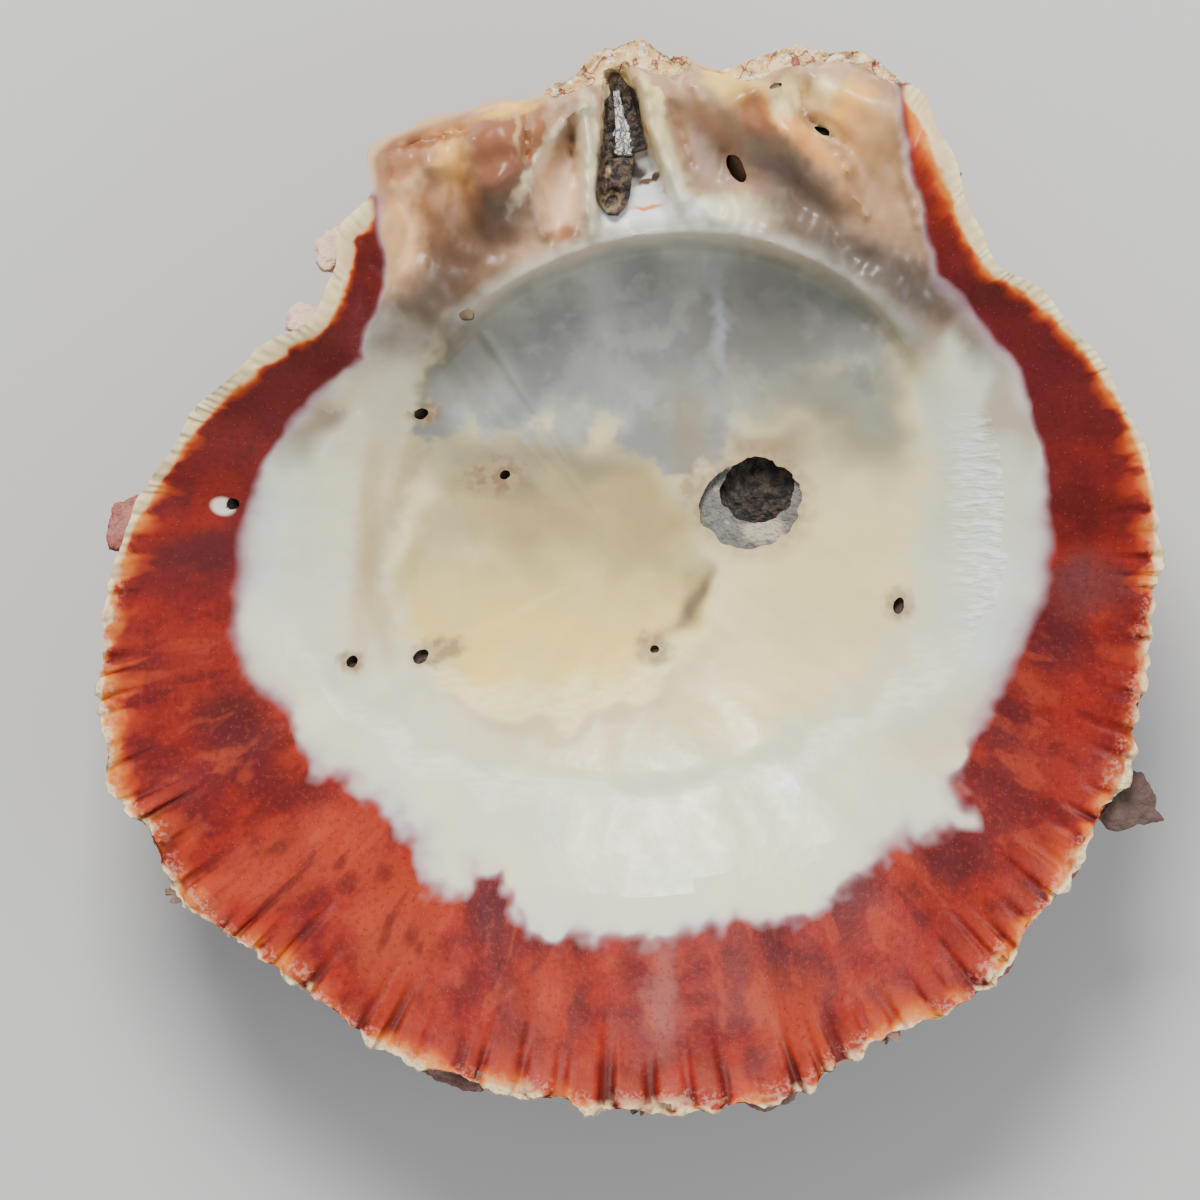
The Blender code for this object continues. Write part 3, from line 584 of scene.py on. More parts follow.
def add_spine(foot, direction, across, length, width, thickness, root=1.6, bend=0.0):
    """Adds one spine. Its cross-section is a furrowed oval."""
    direction, across, back = square_axes(direction, across)
    spine = bmesh.new()
    bmesh.ops.create_cone(spine, cap_ends=True, segments=12, radius1=1.0, radius2=1.0, depth=1.0)
    upright = [e for e in spine.edges if abs(e.verts[0].co.z - e.verts[1].co.z) > 0.5]
    bmesh.ops.subdivide_edges(spine, edges=upright, cuts=5)
    top = [f for f in spine.faces if f.normal.z > 0.9]
    bmesh.ops.inset_individual(spine, faces=top, thickness=0.45)
    seed = foot[0] * 3.7 + foot[1] * 1.3
    for vertex in spine.verts:
        along = vertex.co.z + 0.5
        angle = math.atan2(vertex.co.y, vertex.co.x)
        radius = math.hypot(vertex.co.x, vertex.co.y)
        inner = radius < 0.9
        size = (1.0 + (SPINE_BLUNT - 1.0) * along**1.2) * (radius if inner else 1.0)
        size *= 1.0 + 0.10 * math.cos(5.0 * angle + seed) * (0.4 + 0.6 * along)
        lift = (length + root) * (along + (0.06 if inner else 0.0)) - root
        lift += 0.10 * length * math.sin(2.0 * angle + seed) * along
        x = 0.5 * width * size * math.cos(angle)
        y = 0.5 * thickness * size * math.sin(angle) + bend * length * along**2
        place = Vector(foot) + across * x + back * y + direction * lift
        place += noise.noise_vector(place / 2.0) * float(0.10 * width * along)
        vertex.co = place * MM
    join(spines, spine)


def join(target, added):
    """Puts one bmesh into another and frees it."""
    mesh = bpy.data.meshes.new("joined")
    added.to_mesh(mesh)
    added.free()
    target.from_mesh(mesh)
    bpy.data.meshes.remove(mesh)


def add_lump(foot, direction, across, length, width, thickness, taper):
    """Adds a worn lump: a rough, layered block that grows out from under the margin."""
    direction, across, back = square_axes(direction, across)
    lump = bmesh.new()
    bmesh.ops.create_icosphere(lump, subdivisions=5 if width > 8.0 else 4, radius=1.0)
    for vertex in lump.verts:
        x, y, z = (math.copysign(abs(c) ** (0.4 + 0.6 * taper), c) for c in vertex.co)
        lift = 0.5 * (z + 1.0) * (length + LUMP_ROOT) - LUMP_ROOT
        narrow = 1.0 - taper * max(0.0, 0.5 * (z + 1.0)) ** 2
        place = Vector(foot) + across * (0.5 * width * x * narrow)
        place += back * (0.5 * thickness * y * narrow)
        place += direction * lift
        ridge = abs(lively(place, 7.0, 1.0))
        rough = (0.35 - 1.1 * min(ridge, 0.9)) * min(1.0, thickness / 2.6)
        rough += 0.16 * lively(place, 1.6, 7.0)
        layers = 0.22 * math.sin(place.z * 6.0 + 3.0 * lively(place, 5.0, 3.0))
        place += (across * x + back * (0.6 * y) + direction * z) * (rough + layers)
        vertex.co = place * MM
    join(spines, lump)


def surface_frame(turn, share):
    """A place on the outside, and its normal, its way to the margin and its way sideways."""
    step = 0.02
    here = outside(np.array((turn,)), np.array((share,)))[0]
    towards_margin = outside(np.array((turn,)), np.array((share - step,)))[0] - here
    sideways = outside(np.array((turn + step,)), np.array((share,)))[0] - here
    normal = np.cross(towards_margin, sideways)
    normal *= np.sign(normal @ (here - np.append(BOWL_MIDDLE, MARGIN_HEIGHT)))
    return here, *[v / np.linalg.norm(v) for v in (normal, towards_margin, sideways)]


noise.seed_set(11)                # otherwise the spines would bend in another way each time
draw = np.random.default_rng(11)
for rib in range(0, RIBS, 2):
    turn = 2.0 * rib / RIBS
    turn = turn - 2.0 if turn > 1.0 else turn
    rim = rim_at(rim_share(np.array((turn,))))[0]
    room = np.linalg.norm(rim - UMBO) / 142.0
    for row in SPINE_ROWS:
        place = row + draw.uniform(-0.03, 0.03)
        length = between(SPINE_LENGTHS, row) * (0.4 + 0.6 * room) * draw.uniform(0.7, 1.2)
        lean = SPINE_LEAN * draw.uniform(0.85, 1.15)
        if room < 0.3 or draw.random() < 0.15:
            continue
        foot, normal, towards_margin, sideways = surface_frame(turn, 1.0 - place)
        length = min(length, 0.8 * foot[2])
        direction = normal * math.cos(lean) + towards_margin * math.sin(lean)
        width = 0.78 * length
        add_spine(foot, direction, sideways, length, width, 0.55 * width, bend=-0.12)
for x, y, length, width, thickness, lower, taper in MARGIN_LUMPS:
    foot, normal, _, sideways = surface_frame(turn_at(x, y), 0.06)
    foot[2] -= lower
    outward = np.append(np.array((x, y)) - BOWL_MIDDLE, 0.0)
    direction = outward / np.linalg.norm(outward) + 0.15 * normal
    add_lump(foot, direction, sideways, length, width, thickness, taper)
for x, y in FEET:
    place = np.array((x, y))
    foot = np.append(place, outer_height(place, rim_beyond(place)))
    outward = np.append(place - CENTRE_OF_MASS, 0.0)
    outward *= 0.35 / np.linalg.norm(outward)
    direction = outward + np.array((0.0, 0.0, -1.0))
    add_spine(foot, direction, np.cross(direction, outward), foot[2] + 1.2, 6.6, 6.0, 2.5)
for vertex in spines.verts:
    vertex.co.z = max(vertex.co.z, 0.0)

# Holes of boring animals: x, y, radius, depth, how much longer than wide, and turned by how much.
# The first is a date mussel's hole. A shallow step lies beside it.
BORINGS = (
    (18.7, 12.6, 4.5, 3.3, 1.16, 0.0), (-18.2, 14.8, 0.6, 1.4, 1.3, 30.0),
    (-30.1, 23.4, 0.75, 1.4, 1.3, 20.0), (-40.2, -12.3, 0.75, 1.5, 1.2, 60.0),
    (-30.4, -11.6, 0.9, 1.5, 1.3, 40.0), (38.8, -4.3, 0.75, 1.5, 1.6, 80.0),
    (-56.6, 10.3, 0.75, 1.5, 1.1, 0.0), (14.9, 58.0, 1.0, 1.6, 2.2, -62.0),
    (3.6, -10.6, 0.55, 0.9, 1.2, 0.0), (27.2, 63.3, 0.6, 1.4, 2.0, -30.0),
    (-23.4, 37.2, 0.7, 0.9, 1.5, 10.0), (20.4, 69.0, 0.4, 0.9, 2.6, 30.0),
)
LEDGE = (17.6, 10.4, 5.9, 1.0, 1.22, 0.0)


def add_boring(borings, x, y, radius, depth, longer, turned):
    """Adds the ragged plug that cuts one hole."""
    rim = rim_beyond(np.array((x, y)))
    hole = bmesh.new()
    segments, rings = (64, 4) if radius > 2.0 else (16, 1)
    bmesh.ops.create_cone(hole, cap_ends=True, segments=segments, radius1=1.0, radius2=1.0, depth=2.0)
    bottom = [f for f in hole.faces if f.normal.z < -0.9]
    for _ in range(rings):
        bmesh.ops.inset_individual(hole, faces=bottom, thickness=0.2)
    along = math.radians(turned)
    for vertex in hole.verts:
        angle = math.atan2(vertex.co.y, vertex.co.x)
        reach = math.hypot(vertex.co.x, vertex.co.y)
        around = Vector((math.cos(angle), math.sin(angle), 0.1 * x))
        ragged = 1.0 + 0.12 * noise.noise(around * 1.2) + 0.09 * noise.noise(around * 3.5)
        ragged += 0.05 * noise.noise(around * 9.0)
        spread = radius * reach * ragged * (1.06 if vertex.co.z < 0.0 else 1.0)
        far, aside = spread * longer * math.cos(angle), spread * math.sin(angle)
        floor = -depth * (1.0 + 0.22 * noise.noise(Vector((far, aside, x)) * 0.6))
        place_x = x + far * math.cos(along) - aside * math.sin(along)
        place_y = y + far * math.sin(along) + aside * math.cos(along)
        surface = float(inner_height(np.array((place_x, place_y)), rim))
        height = surface + (floor if vertex.co.z < 0.0 else 3.0)
        vertex.co = Vector((place_x, place_y, height)) * MM
    join(borings, hole)


borings, step_beside = bmesh.new(), bmesh.new()
for boring in BORINGS:
    add_boring(borings, *boring)
add_boring(step_beside, *LEDGE)
valve = as_object("valve", shell)


def work_in(tool, how):
    """Joins the tool to the valve, or cuts it out of the valve."""
    step = valve.modifiers.new(how, "BOOLEAN")
    step.operation, step.solver, step.object = how, "MANIFOLD", tool
    worked = valve.evaluated_get(bpy.context.evaluated_depsgraph_get())
    valve.data = bpy.data.meshes.new_from_object(worked)
    valve.modifiers.clear()
    bpy.data.objects.remove(tool)


spine_places = np.array([v.co for v in spines.verts]) / MM
work_in(as_object("spines", spines), "UNION")
work_in(as_object("borings", borings), "DIFFERENCE")
work_in(as_object("step", step_beside), "DIFFERENCE")
mesh = valve.data
mesh.name = "valve"

# What the colours depend on is kept at each vertex, in millimetres or as a share. The band's inner
# edge runs anticlockwise from the left ear, and its last points close it behind the hinge.
BAND_LINE = np.array((
    (-36.2, 53.4), (-34.8, 41.1), (-38.2, 34.0), (-38.4, 31.0), (-42.7, 28.0), (-48.2, 22.4),
    (-51.2, 17.7), (-53.0, 14.6), (-55.4, 7.1), (-56.9, -7.7), (-55.0, -14.0), (-49.5, -19.4),
    (-45.5, -28.3), (-41.3, -29.4), (-35.8, -33.7), (-31.2, -38.4), (-29.6, -44.6), (-23.4, -46.6),
    (-21.8, -43.1), (-18.7, -43.1), (-15.0, -51.8), (-2.5, -52.5), (6.1, -52.5), (15.3, -49.4), (22.1, -50.0),
    (30.7, -45.1), (40.4, -37.7), (49.1, -35.3), (46.6, -29.2), (51.5, -19.3), (58.9, -3.4),
    (59.7, 5.1), (59.0, 17.0), (55.1, 29.4), (47.1, 39.5), (43.6, 42.6), (41.8, 50.5),
    (39.6, 58.0), (38.3, 67.2), (38.0, 95.0), (-60.0, 95.0), (-60.0, 54.0),
))

# The cavity's grey part under the hinge plate, partly the thin shell's own grey and partly painted shade,
# anticlockwise from the upper left
GREY_SHADE_LINE = np.array((
    (-32.0, 38.0), (-37.0, 29.0), (-31.0, 19.0), (-19.9, 20.3), (-10.0, 21.3), (-4.4, 21.3),
    (1.3, 19.2), (4.8, 14.9), (8.6, 13.2), (14.6, 19.2), (18.9, 24.8), (28.0, 28.6), (35.1, 22.0),
    (38.6, 34.6), (40.0, 60.0), (-40.0, 60.0),
))


def outside_of(points, line):
    """Distance from a closed line, above 0 outside it and below 0 inside."""
    closed = np.vstack((line, line[:1]))
    crossings = np.zeros(len(points), int)
    for (x0, y0), (x1, y1) in zip(closed, closed[1:]):
        spans = (y0 > points[:, 1]) != (y1 > points[:, 1])
        rise = (y1 - y0) if abs(y1 - y0) > 1e-9 else 1e-9
        crossings += spans & (points[:, 0] < x0 + (points[:, 1] - y0) * (x1 - x0) / rise)
    return from_line(points, closed) * np.where(crossings % 2, -1.0, 1.0)


def nearest_of(points, known):
    """For each point, which of the known places is nearest, and how far away it is."""
    tree = kdtree.KDTree(len(known))
    for index, place in enumerate(known):
        tree.insert(place, index)
    tree.balance()
    found = [tree.find(point) for point in points]
    return np.array([f[1] for f in found]), np.array([f[2] for f in found])


spots = np.array([v.co for v in mesh.vertices]) / MM
plan = spots[:, :2]
origin, off_shell = nearest_of(spots, places)
_, off_spine = nearest_of(spots, spine_places)
turn, climb = grown_turn[origin], grown_climb[origin]
flute, across, clockwise = flute_at(turn)
from_rim = -outside_of(plan, RIM)
hole, within = np.zeros(len(spots)), (climb >= 0.0).astype(float)
for x, y, radius, depth, longer, _ in BORINGS + (LEDGE,):
    place = np.array((x, y))
    near = np.linalg.norm(plan - place, axis=1) < 1.3 * radius * longer
    below = inner_height(plan[near], rim_beyond(place)) - spots[near, 2]
    hole[near] = np.maximum(hole[near], np.where(below < 1.3 * depth + 0.4, below, 0.0))
within = np.maximum(within, (hole > 0.3).astype(float))
height_share = round_margin(clockwise, FINGER_HEIGHTS)
tip = FINGER_TIP[flute] * round_margin(clockwise, TIP_SHARES)
back, gap = finger(flute, across, clockwise, from_rim)
signs = {
    "outside": 1.0 - within,
    "from_rim": from_rim,
    "cream_width": round_margin(clockwise, CREAM_WIDTHS),
    "glow_width": round_margin(clockwise, GLOW_WIDTHS),
    "band": outside_of(plan, BAND_LINE),
    "grey": outside_of(plan, GREY_SHADE_LINE),
    "flute": flute + across,
    "gap": gap * height_share,
    # Where the painted highlight lies on the fingers' backs
    "painted_finger_highlight": height_share * back * (1.0 - (2.0 * across - 1.0) ** 2),
    "tip": np.exp(-(((from_rim - tip - 0.5) / 0.9) ** 2)) * smooth(0.45, 0.8, height_share),
    "beyond_tips": smooth(0.35, -0.25, from_rim - tip) * smooth(0.45, 0.8, height_share),
    "hinge": on_hinge_plate(plan) * within,
    "crust": crust(plan, from_rim) * within,
    "cavity": cavity_size(plan),
    "hole": hole,
    "pit": pit_depth(plan) * within,
    "grown": np.linalg.norm(plan - UMBO, axis=1),
    "spine": ((off_spine < off_shell) & (hole < 0.3)).astype(float),
}
for name, values in signs.items():
    sign = mesh.attributes.new(name, "FLOAT", "POINT")
    sign.data.foreach_set("value", np.asarray(values, np.float32))
mesh.polygons.foreach_set("use_smooth", [True] * len(mesh.polygons))
mesh.set_sharp_from_angle(angle=math.radians(55.0))


def feed(tree, node, values):
    """Sets or links a shader node's inputs."""
    for socket, value in values.items():
        if isinstance(value, bpy.types.NodeSocket):
            tree.links.new(value, node.inputs[socket])
        else:
            node.inputs[socket].default_value = value


def add_node(tree, kind, values, **settings):
    """Adds a shader node, sets or links its inputs, and gives back the node."""
    made = tree.nodes.new("ShaderNode" + kind)
    for name, value in settings.items():
        setattr(made, name, value)
    feed(tree, made, values)
    return made


class Paint:
    """Short words for the nodes of one material."""

    def __init__(self, name, flat=False):
        self.material = bpy.data.materials.new(name)
        self.material.use_nodes = True
        self.tree = self.material.node_tree
        self.surface = self.tree.nodes["Principled BSDF"]
        self.flat = flat
        place = add_node(self.tree, "TexCoord", {}).outputs["Object"]
        self.place = add_node(
            self.tree, "VectorMath", {0: place, "Scale": 1.0 / MM}, operation="SCALE"
        ).outputs[0]
        apart = add_node(self.tree, "SeparateXYZ", {0: self.place})
        self.x, self.y = apart.outputs[0], apart.outputs[1]
        self.soft = self.wobbled(9.0, 2.2, 1.0, 1.0)
        self.loose = self.wobbled(4.0, 1.2, 2.0, 2.0)
        self.fine = self.wobbled(1.8, 0.4, 1.0, 3.0)

    def sign(self, name):
        """One of the values kept at each vertex."""
        return add_node(self.tree, "Attribute", {}, attribute_name=name).outputs["Fac"]

    def sum(self, operation, result, *others):
        """Does a sum with one value alone, or with the result so far and each other value."""
        for other in others or (0.0,):
            result = add_node(self.tree, "Math", {0: result, 1: other}, operation=operation).outputs[0]
        return result

    def times(self, *values):
        return self.sum("MULTIPLY", *values)

    def plus(self, *values):
        return self.sum("ADD", *values)

    def most(self, *values):
        return self.sum("MAXIMUM", *values)

    def steps(self, value, low, high, start=0.0, end=1.0):
        """Goes smoothly from start to end as the value goes from low to high."""
        return add_node(
            self.tree, "MapRange", {0: value, 1: low, 2: high, 3: start, 4: end},
            interpolation_type="SMOOTHSTEP",
        ).outputs[0]

    def mix(self, share, first, second):
        """A colour between two others."""
        first, second = (
            (*c, 1.0) if isinstance(c, tuple) and len(c) == 3 else c for c in (first, second)
        )
        return add_node(self.tree, "Mix", {0: share, 6: first, 7: second}, data_type="RGBA").outputs[2]

    def level(self, share, first, second):
        """A value between two others."""
        return add_node(self.tree, "Mix", {0: share, 2: first, 3: second}, data_type="FLOAT").outputs[0]

    def noise(self, size, detail=3.0, at=None, rough=0.5, seed=0.0):
        """Uneven values about 0.5, whose patches are about this many millimetres wide."""
        away = (311.7 + 13.7 * seed, 173.3 + 7.9 * seed, 59.1 + 3.3 * seed)
        return add_node(
            self.tree, "TexNoise",
            {"Vector": self.shifted(at or self.place, away), "Scale": 1.0 / size, "Detail": detail,
             "Roughness": rough},
            noise_dimensions="2D" if self.flat else "3D",
        ).outputs[0]

    def shifted(self, at, by):
        return add_node(self.tree, "VectorMath", {0: at, 1: by}, operation="ADD").outputs[0]

    def uneven(self, start, end, size, low, high, seed, detail=3.0, rough=0.5):
        """From start to end in patches of about this size, as noise goes from low to high."""
        return self.steps(self.noise(size, detail, rough=rough, seed=seed), low, high, start, end)

    def patches(self, first, second, *uneven, share=1.0, **settings):
        """Patches of the second colour on the first, made as uneven makes them."""
        return self.mix(self.uneven(0.0, share, *uneven, **settings), first, second)

    def wobbled(self, size, reach, detail, seed):
        """The place, shifted unevenly by about this many millimetres."""
        shifts = [
            self.times(self.plus(self.noise(size, detail, seed=seed + other), -0.5), 4.0 * reach)
            for other in (0.0, 17.0)
        ]
        return self.shifted(self.place, self.vector(*shifts))

    def vector(self, x, y, z=0.0):
        return add_node(self.tree, "CombineXYZ", {0: x, 1: y, 2: z}).outputs[0]

    def away(self, x, y, half_length, half_width, turn, at=None):
        """0 in the middle of an oval and 1 on its edge."""
        at = at or self.place
        c, s = math.cos(math.radians(turn)), math.sin(math.radians(turn))
        along, aside = (c / half_length, s / half_length, 0.0), (-s / half_width, c / half_width, 0.0)
        middle = [x * v[0] + y * v[1] for v in (along, aside)]
        shares = [
            add_node(self.tree, "VectorMath", {0: at, 1: v}, operation="DOT_PRODUCT").outputs["Value"]
            for v in (along, aside)
        ]
        return add_node(
            self.tree, "VectorMath", {0: self.vector(*shares), 1: (*middle, 0.0)}, operation="DISTANCE"
        ).outputs["Value"]

    def spot(self, x, y, half_length, half_width, turn, soft, at=None):
        """1 in the middle of an oval patch and 0 outside it."""
        far = self.away(x, y, half_length, half_width, turn, at)
        return self.steps(far, 1.0 - soft, 1.0 + soft, 1.0, 0.0)

    def tinted(self, base, tints, at):
        """Lays soft patches over a colour: middle, half sizes, turn, softness, share and tint."""
        for *shape, share, tint in tints:
            base = self.mix(self.times(self.spot(*shape, at), share), base, tint)
        return base

    def ring(self, value, start, full_from, full_to, end):
        """1 in the middle of a range of values and 0 on both sides."""
        return self.times(self.steps(value, start, full_from), self.steps(value, full_to, end, 1.0, 0.0))

    def finish(self, colour, roughness, height, gleam=0.5):
        """Puts colour, roughness, relief (in millimetres) and gleam on the surface."""
        relief = add_node(self.tree, "Bump", {"Height": height, "Distance": MM}).outputs[0]
        feed(self.tree, self.surface, {
            "Base Color": colour, "Roughness": roughness, "Normal": relief, "Specular IOR Level": gleam,
        })
        return self.material


# Soft patches of colour, listed: middle, half length, half width, turn, softness, share
# and tint. The first table is for the porcelain round the cavity, the others for what they name.
WHITE_TINTS = (
    (51.0, 8.0, 9.0, 24.0, 5.0, 0.6, 0.8, (0.72, 0.82, 0.72)),
    (-50.0, 3.0, 5.0, 14.0, 8.0, 0.7, 0.5, (0.74, 0.79, 0.73)),
    # The next two darken the shoulders beside the band: partly the shell's own brown, partly painted shade.
    (-45.5, 22.0, 2.6, 6.0, -42.0, 0.8, 0.8, (0.22, 0.15, 0.10)),
    (54.0, 23.0, 2.0, 8.0, 25.0, 0.8, 0.7, (0.24, 0.17, 0.12)),
    (12.0, -37.0, 16.0, 7.0, 0.0, 0.8, 0.5, (0.93, 0.93, 0.56)),
    (46.0, -22.0, 9.0, 5.0, 30.0, 0.8, 0.6, (0.74, 0.62, 0.36)),
    (54.0, 18.0, 2.5, 15.0, 8.0, 0.8, 0.5, (0.66, 0.54, 0.40)),
)
CAVITY_TINTS = (
    # The first two darken the top of the golden disc: painted shade.
    (-14.0, 10.0, 12.0, 7.0, 0.0, 0.7, 0.75, (0.39, 0.29, 0.11)),
    (4.0, 8.0, 8.0, 7.0, 0.0, 0.8, 0.65, (0.34, 0.25, 0.09)),
    (8.4, -3.4, 1.3, 4.4, -25.0, 0.8, 0.9, (0.10, 0.058, 0.025)),
    (4.0, 11.0, 10.0, 3.0, -30.0, 0.8, 0.4, (0.46, 0.33, 0.12)),
    (30.0, 1.0, 11.0, 10.0, 0.0, 0.8, 0.5, (0.88, 0.70, 0.22)),
    (19.0, -16.0, 12.0, 7.0, 25.0, 0.8, 0.5, (0.95, 0.82, 0.36)),
    (19.0, 19.4, 7.0, 2.6, -18.0, 0.6, 0.8, (0.34, 0.23, 0.12)),
    (27.0, 26.0, 9.0, 6.0, -30.0, 0.8, 0.85, (0.34, 0.30, 0.17)),
    (37.0, 21.0, 4.0, 8.0, 15.0, 0.7, 0.8, (0.31, 0.30, 0.19)),
    (-28.0, 28.0, 4.0, 9.0, -50.0, 0.8, 0.7, (0.20, 0.17, 0.10)),
    (-12.0, 17.8, 18.0, 3.6, 0.0, 0.8, 0.75, (0.20, 0.165, 0.100)),
    (26.0, 27.0, 12.0, 5.0, -30.0, 0.8, 0.7, (0.21, 0.19, 0.135)),
)
LEFT_STREAKS = (
    (-34.2, 10.1, 1.6, 11.0, -21.0, 0.9, 0.6, (0.38, 0.25, 0.09)),
    (-36.4, -5.0, 1.4, 7.0, 12.0, 0.9, 0.45, (0.46, 0.33, 0.13)),
    (-31.6, 2.0, 1.2, 7.0, -24.0, 0.9, 0.35, (0.44, 0.31, 0.12)),
    (-38.0, 4.0, 1.8, 14.0, -4.0, 0.8, 0.6, (0.54, 0.38, 0.14)),
)
# Patches of the grey part: partly the shell's own grey, partly painted shade
GREY_SHADE_TINTS = (
    (-7.0, 23.2, 5.4, 2.8, -4.0, 0.7, 0.8, (0.52, 0.53, 0.46)),
    (-21.0, 27.6, 4.0, 5.0, -30.0, 0.8, 0.5, (0.40, 0.40, 0.35)),
    (-25.0, 31.0, 9.0, 4.5, 38.0, 0.7, 0.7, (0.20, 0.185, 0.15)),
    (8.3, 22.0, 3.4, 6.5, 10.0, 0.6, 0.7, (0.30, 0.25, 0.16)),
    (20.0, 34.0, 10.0, 7.0, -28.0, 0.9, 0.8, (0.19, 0.18, 0.155)),
    (13.0, 36.4, 1.3, 5.6, 5.0, 0.8, 0.75, (0.46, 0.50, 0.54)),
    (16.6, 26.0, 2.0, 5.0, 22.0, 0.8, 0.7, (0.40, 0.38, 0.30)),
)
HINGE_TINTS = (
    (-28.0, 62.6, 9.0, 1.6, 12.0, 0.6, 0.9, (0.58, 0.27, 0.11)),
    (-31.6, 56.4, 5.0, 5.0, 0.0, 0.7, 0.9, (0.40, 0.15, 0.072)),
    (-25.0, 58.6, 2.4, 4.0, 20.0, 0.8, 0.85, (1.00, 0.54, 0.13)),
    (-31.4, 54.5, 1.4, 3.0, -35.0, 0.7, 0.9, (1.00, 0.64, 0.33)),
    # Painted shadow: a thin dark line under the shelf along the left ear's top.
    (-28.6, 61.4, 5.4, 0.6, 12.0, 0.7, 0.8, (0.24, 0.085, 0.03)),
    (-26.0, 50.0, 8.0, 4.0, 60.0, 0.8, 0.7, (0.54, 0.235, 0.098)),
    (-18.6, 61.2, 6.8, 4.2, 76.0, 0.4, 0.95, (0.30, 0.105, 0.045)),
    (-17.0, 66.0, 4.0, 1.2, 15.0, 0.6, 0.9, (1.00, 0.60, 0.12)),
    (-13.4, 61.0, 6.0, 1.0, 82.0, 0.5, 0.9, (0.30, 0.105, 0.035)),
    (-15.9, 62.6, 3.6, 0.5, 88.0, 0.6, 0.8, (0.72, 0.40, 0.20)),
    # Painted shade under the left tooth's foot.
    (-18.6, 52.2, 5.6, 4.0, 55.0, 0.8, 0.95, (0.105, 0.068, 0.050)),
    (-25.0, 44.5, 7.0, 7.0, 30.0, 0.8, 0.9, (0.085, 0.040, 0.020)),
    (-18.5, 57.4, 2.6, 3.0, 0.0, 0.7, 0.8, (0.26, 0.090, 0.045)),
    (-33.4, 46.4, 3.0, 8.0, 0.0, 0.8, 0.9, (1.00, 0.57, 0.25)),
    (-12.6, 59.0, 1.0, 7.0, -32.0, 0.5, 0.95, (0.84, 0.68, 0.45)),
    (-13.3, 52.5, 0.8, 4.2, 8.0, 0.9, 0.7, (0.58, 0.40, 0.26)),
    # Painted shade in the upper end of the left socket.
    (-9.4, 62.0, 1.3, 3.4, -14.0, 0.6, 0.9, (0.32, 0.23, 0.17)),
    (-10.0, 54.6, 2.8, 5.6, 0.0, 0.5, 0.9, (0.94, 0.67, 0.45)),
    (-8.4, 48.6, 3.4, 1.4, 10.0, 0.7, 0.9, (0.27, 0.12, 0.04)),
    (-6.1, 58.6, 1.6, 9.0, 2.0, 0.5, 0.95, (0.95, 0.86, 0.56)),
    (4.9, 60.0, 1.9, 9.4, 20.0, 0.5, 0.9, (0.86, 0.70, 0.38)),
    (6.2, 54.6, 1.4, 5.0, 14.0, 0.7, 0.8, (0.92, 0.86, 0.62)),
    (3.0, 68.2, 0.9, 3.2, 32.0, 0.35, 0.95, (0.98, 0.84, 0.36)),
    (9.8, 65.4, 2.0, 3.6, 28.0, 0.7, 0.9, (0.64, 0.40, 0.26)),
    (11.0, 58.6, 2.6, 5.0, 18.0, 0.7, 0.9, (0.36, 0.26, 0.20)),
    (15.6, 68.2, 6.4, 2.6, -38.0, 0.4, 0.95, (1.00, 0.66, 0.14)),
    (17.9, 65.0, 4.6, 2.8, -42.0, 0.5, 0.95, (0.33, 0.115, 0.045)),
    (24.6, 61.4, 6.6, 1.8, -42.0, 0.5, 0.9, (0.98, 0.42, 0.10)),
    # Painted shade beneath the right tooth.
    (20.6, 58.0, 6.6, 2.8, -28.0, 0.8, 0.95, (0.145, 0.095, 0.085)),
    (30.4, 55.0, 1.6, 4.6, 20.0, 0.6, 0.85, (0.70, 0.36, 0.16)),
    (22.2, 67.6, 1.9, 3.6, -22.0, 0.5, 0.9, (1.00, 0.84, 0.42)),
    (27.4, 68.0, 2.0, 2.4, 0.0, 0.6, 0.9, (1.00, 0.86, 0.46)),
    (31.0, 66.6, 3.0, 3.4, -30.0, 0.6, 0.95, (1.00, 0.52, 0.11)),
    (33.8, 61.0, 3.6, 5.6, 10.0, 0.7, 0.9, (0.62, 0.32, 0.12)),
    (27.4, 63.0, 2.2, 1.2, -35.0, 0.5, 0.9, (0.96, 0.80, 0.50)),
    (36.4, 52.0, 3.4, 6.5, 10.0, 0.8, 0.9, (0.46, 0.27, 0.13)),
    (24.0, 52.0, 6.0, 3.4, -20.0, 0.8, 0.9, (0.17, 0.118, 0.086)),
    (14.0, 51.8, 6.0, 2.2, -8.0, 0.6, 0.9, (0.78, 0.72, 0.46)),
    (15.4, 47.2, 0.6, 1.2, 0.0, 0.8, 0.9, (0.10, 0.088, 0.080)),
    (29.6, 46.2, 9.0, 3.6, -25.0, 0.8, 0.9, (0.113, 0.083, 0.065)),
    (3.0, 49.6, 8.6, 2.5, 0.0, 0.4, 0.95, (0.60, 0.60, 0.48)),
    # White on the platform beside the pit: partly its own white, partly painted highlight.
    (7.4, 52.4, 4.4, 1.6, -6.0, 0.6, 0.95, (0.94, 0.94, 0.82)),
    (12.0, 48.6, 5.0, 1.8, -10.0, 0.6, 0.8, (0.56, 0.53, 0.40)),
    # The two shoulders, darker: partly the shell's own brown, partly painted shade.
    (41.5, 40.5, 8.0, 4.0, -40.0, 0.8, 0.95, (0.078, 0.060, 0.048)),
    (-32.0, 35.0, 6.0, 9.0, -40.0, 0.7, 0.95, (0.095, 0.068, 0.048)),
)
SHOULDER_FADE = (26.5, 34.0)      # up from the seam with the bowl's finish
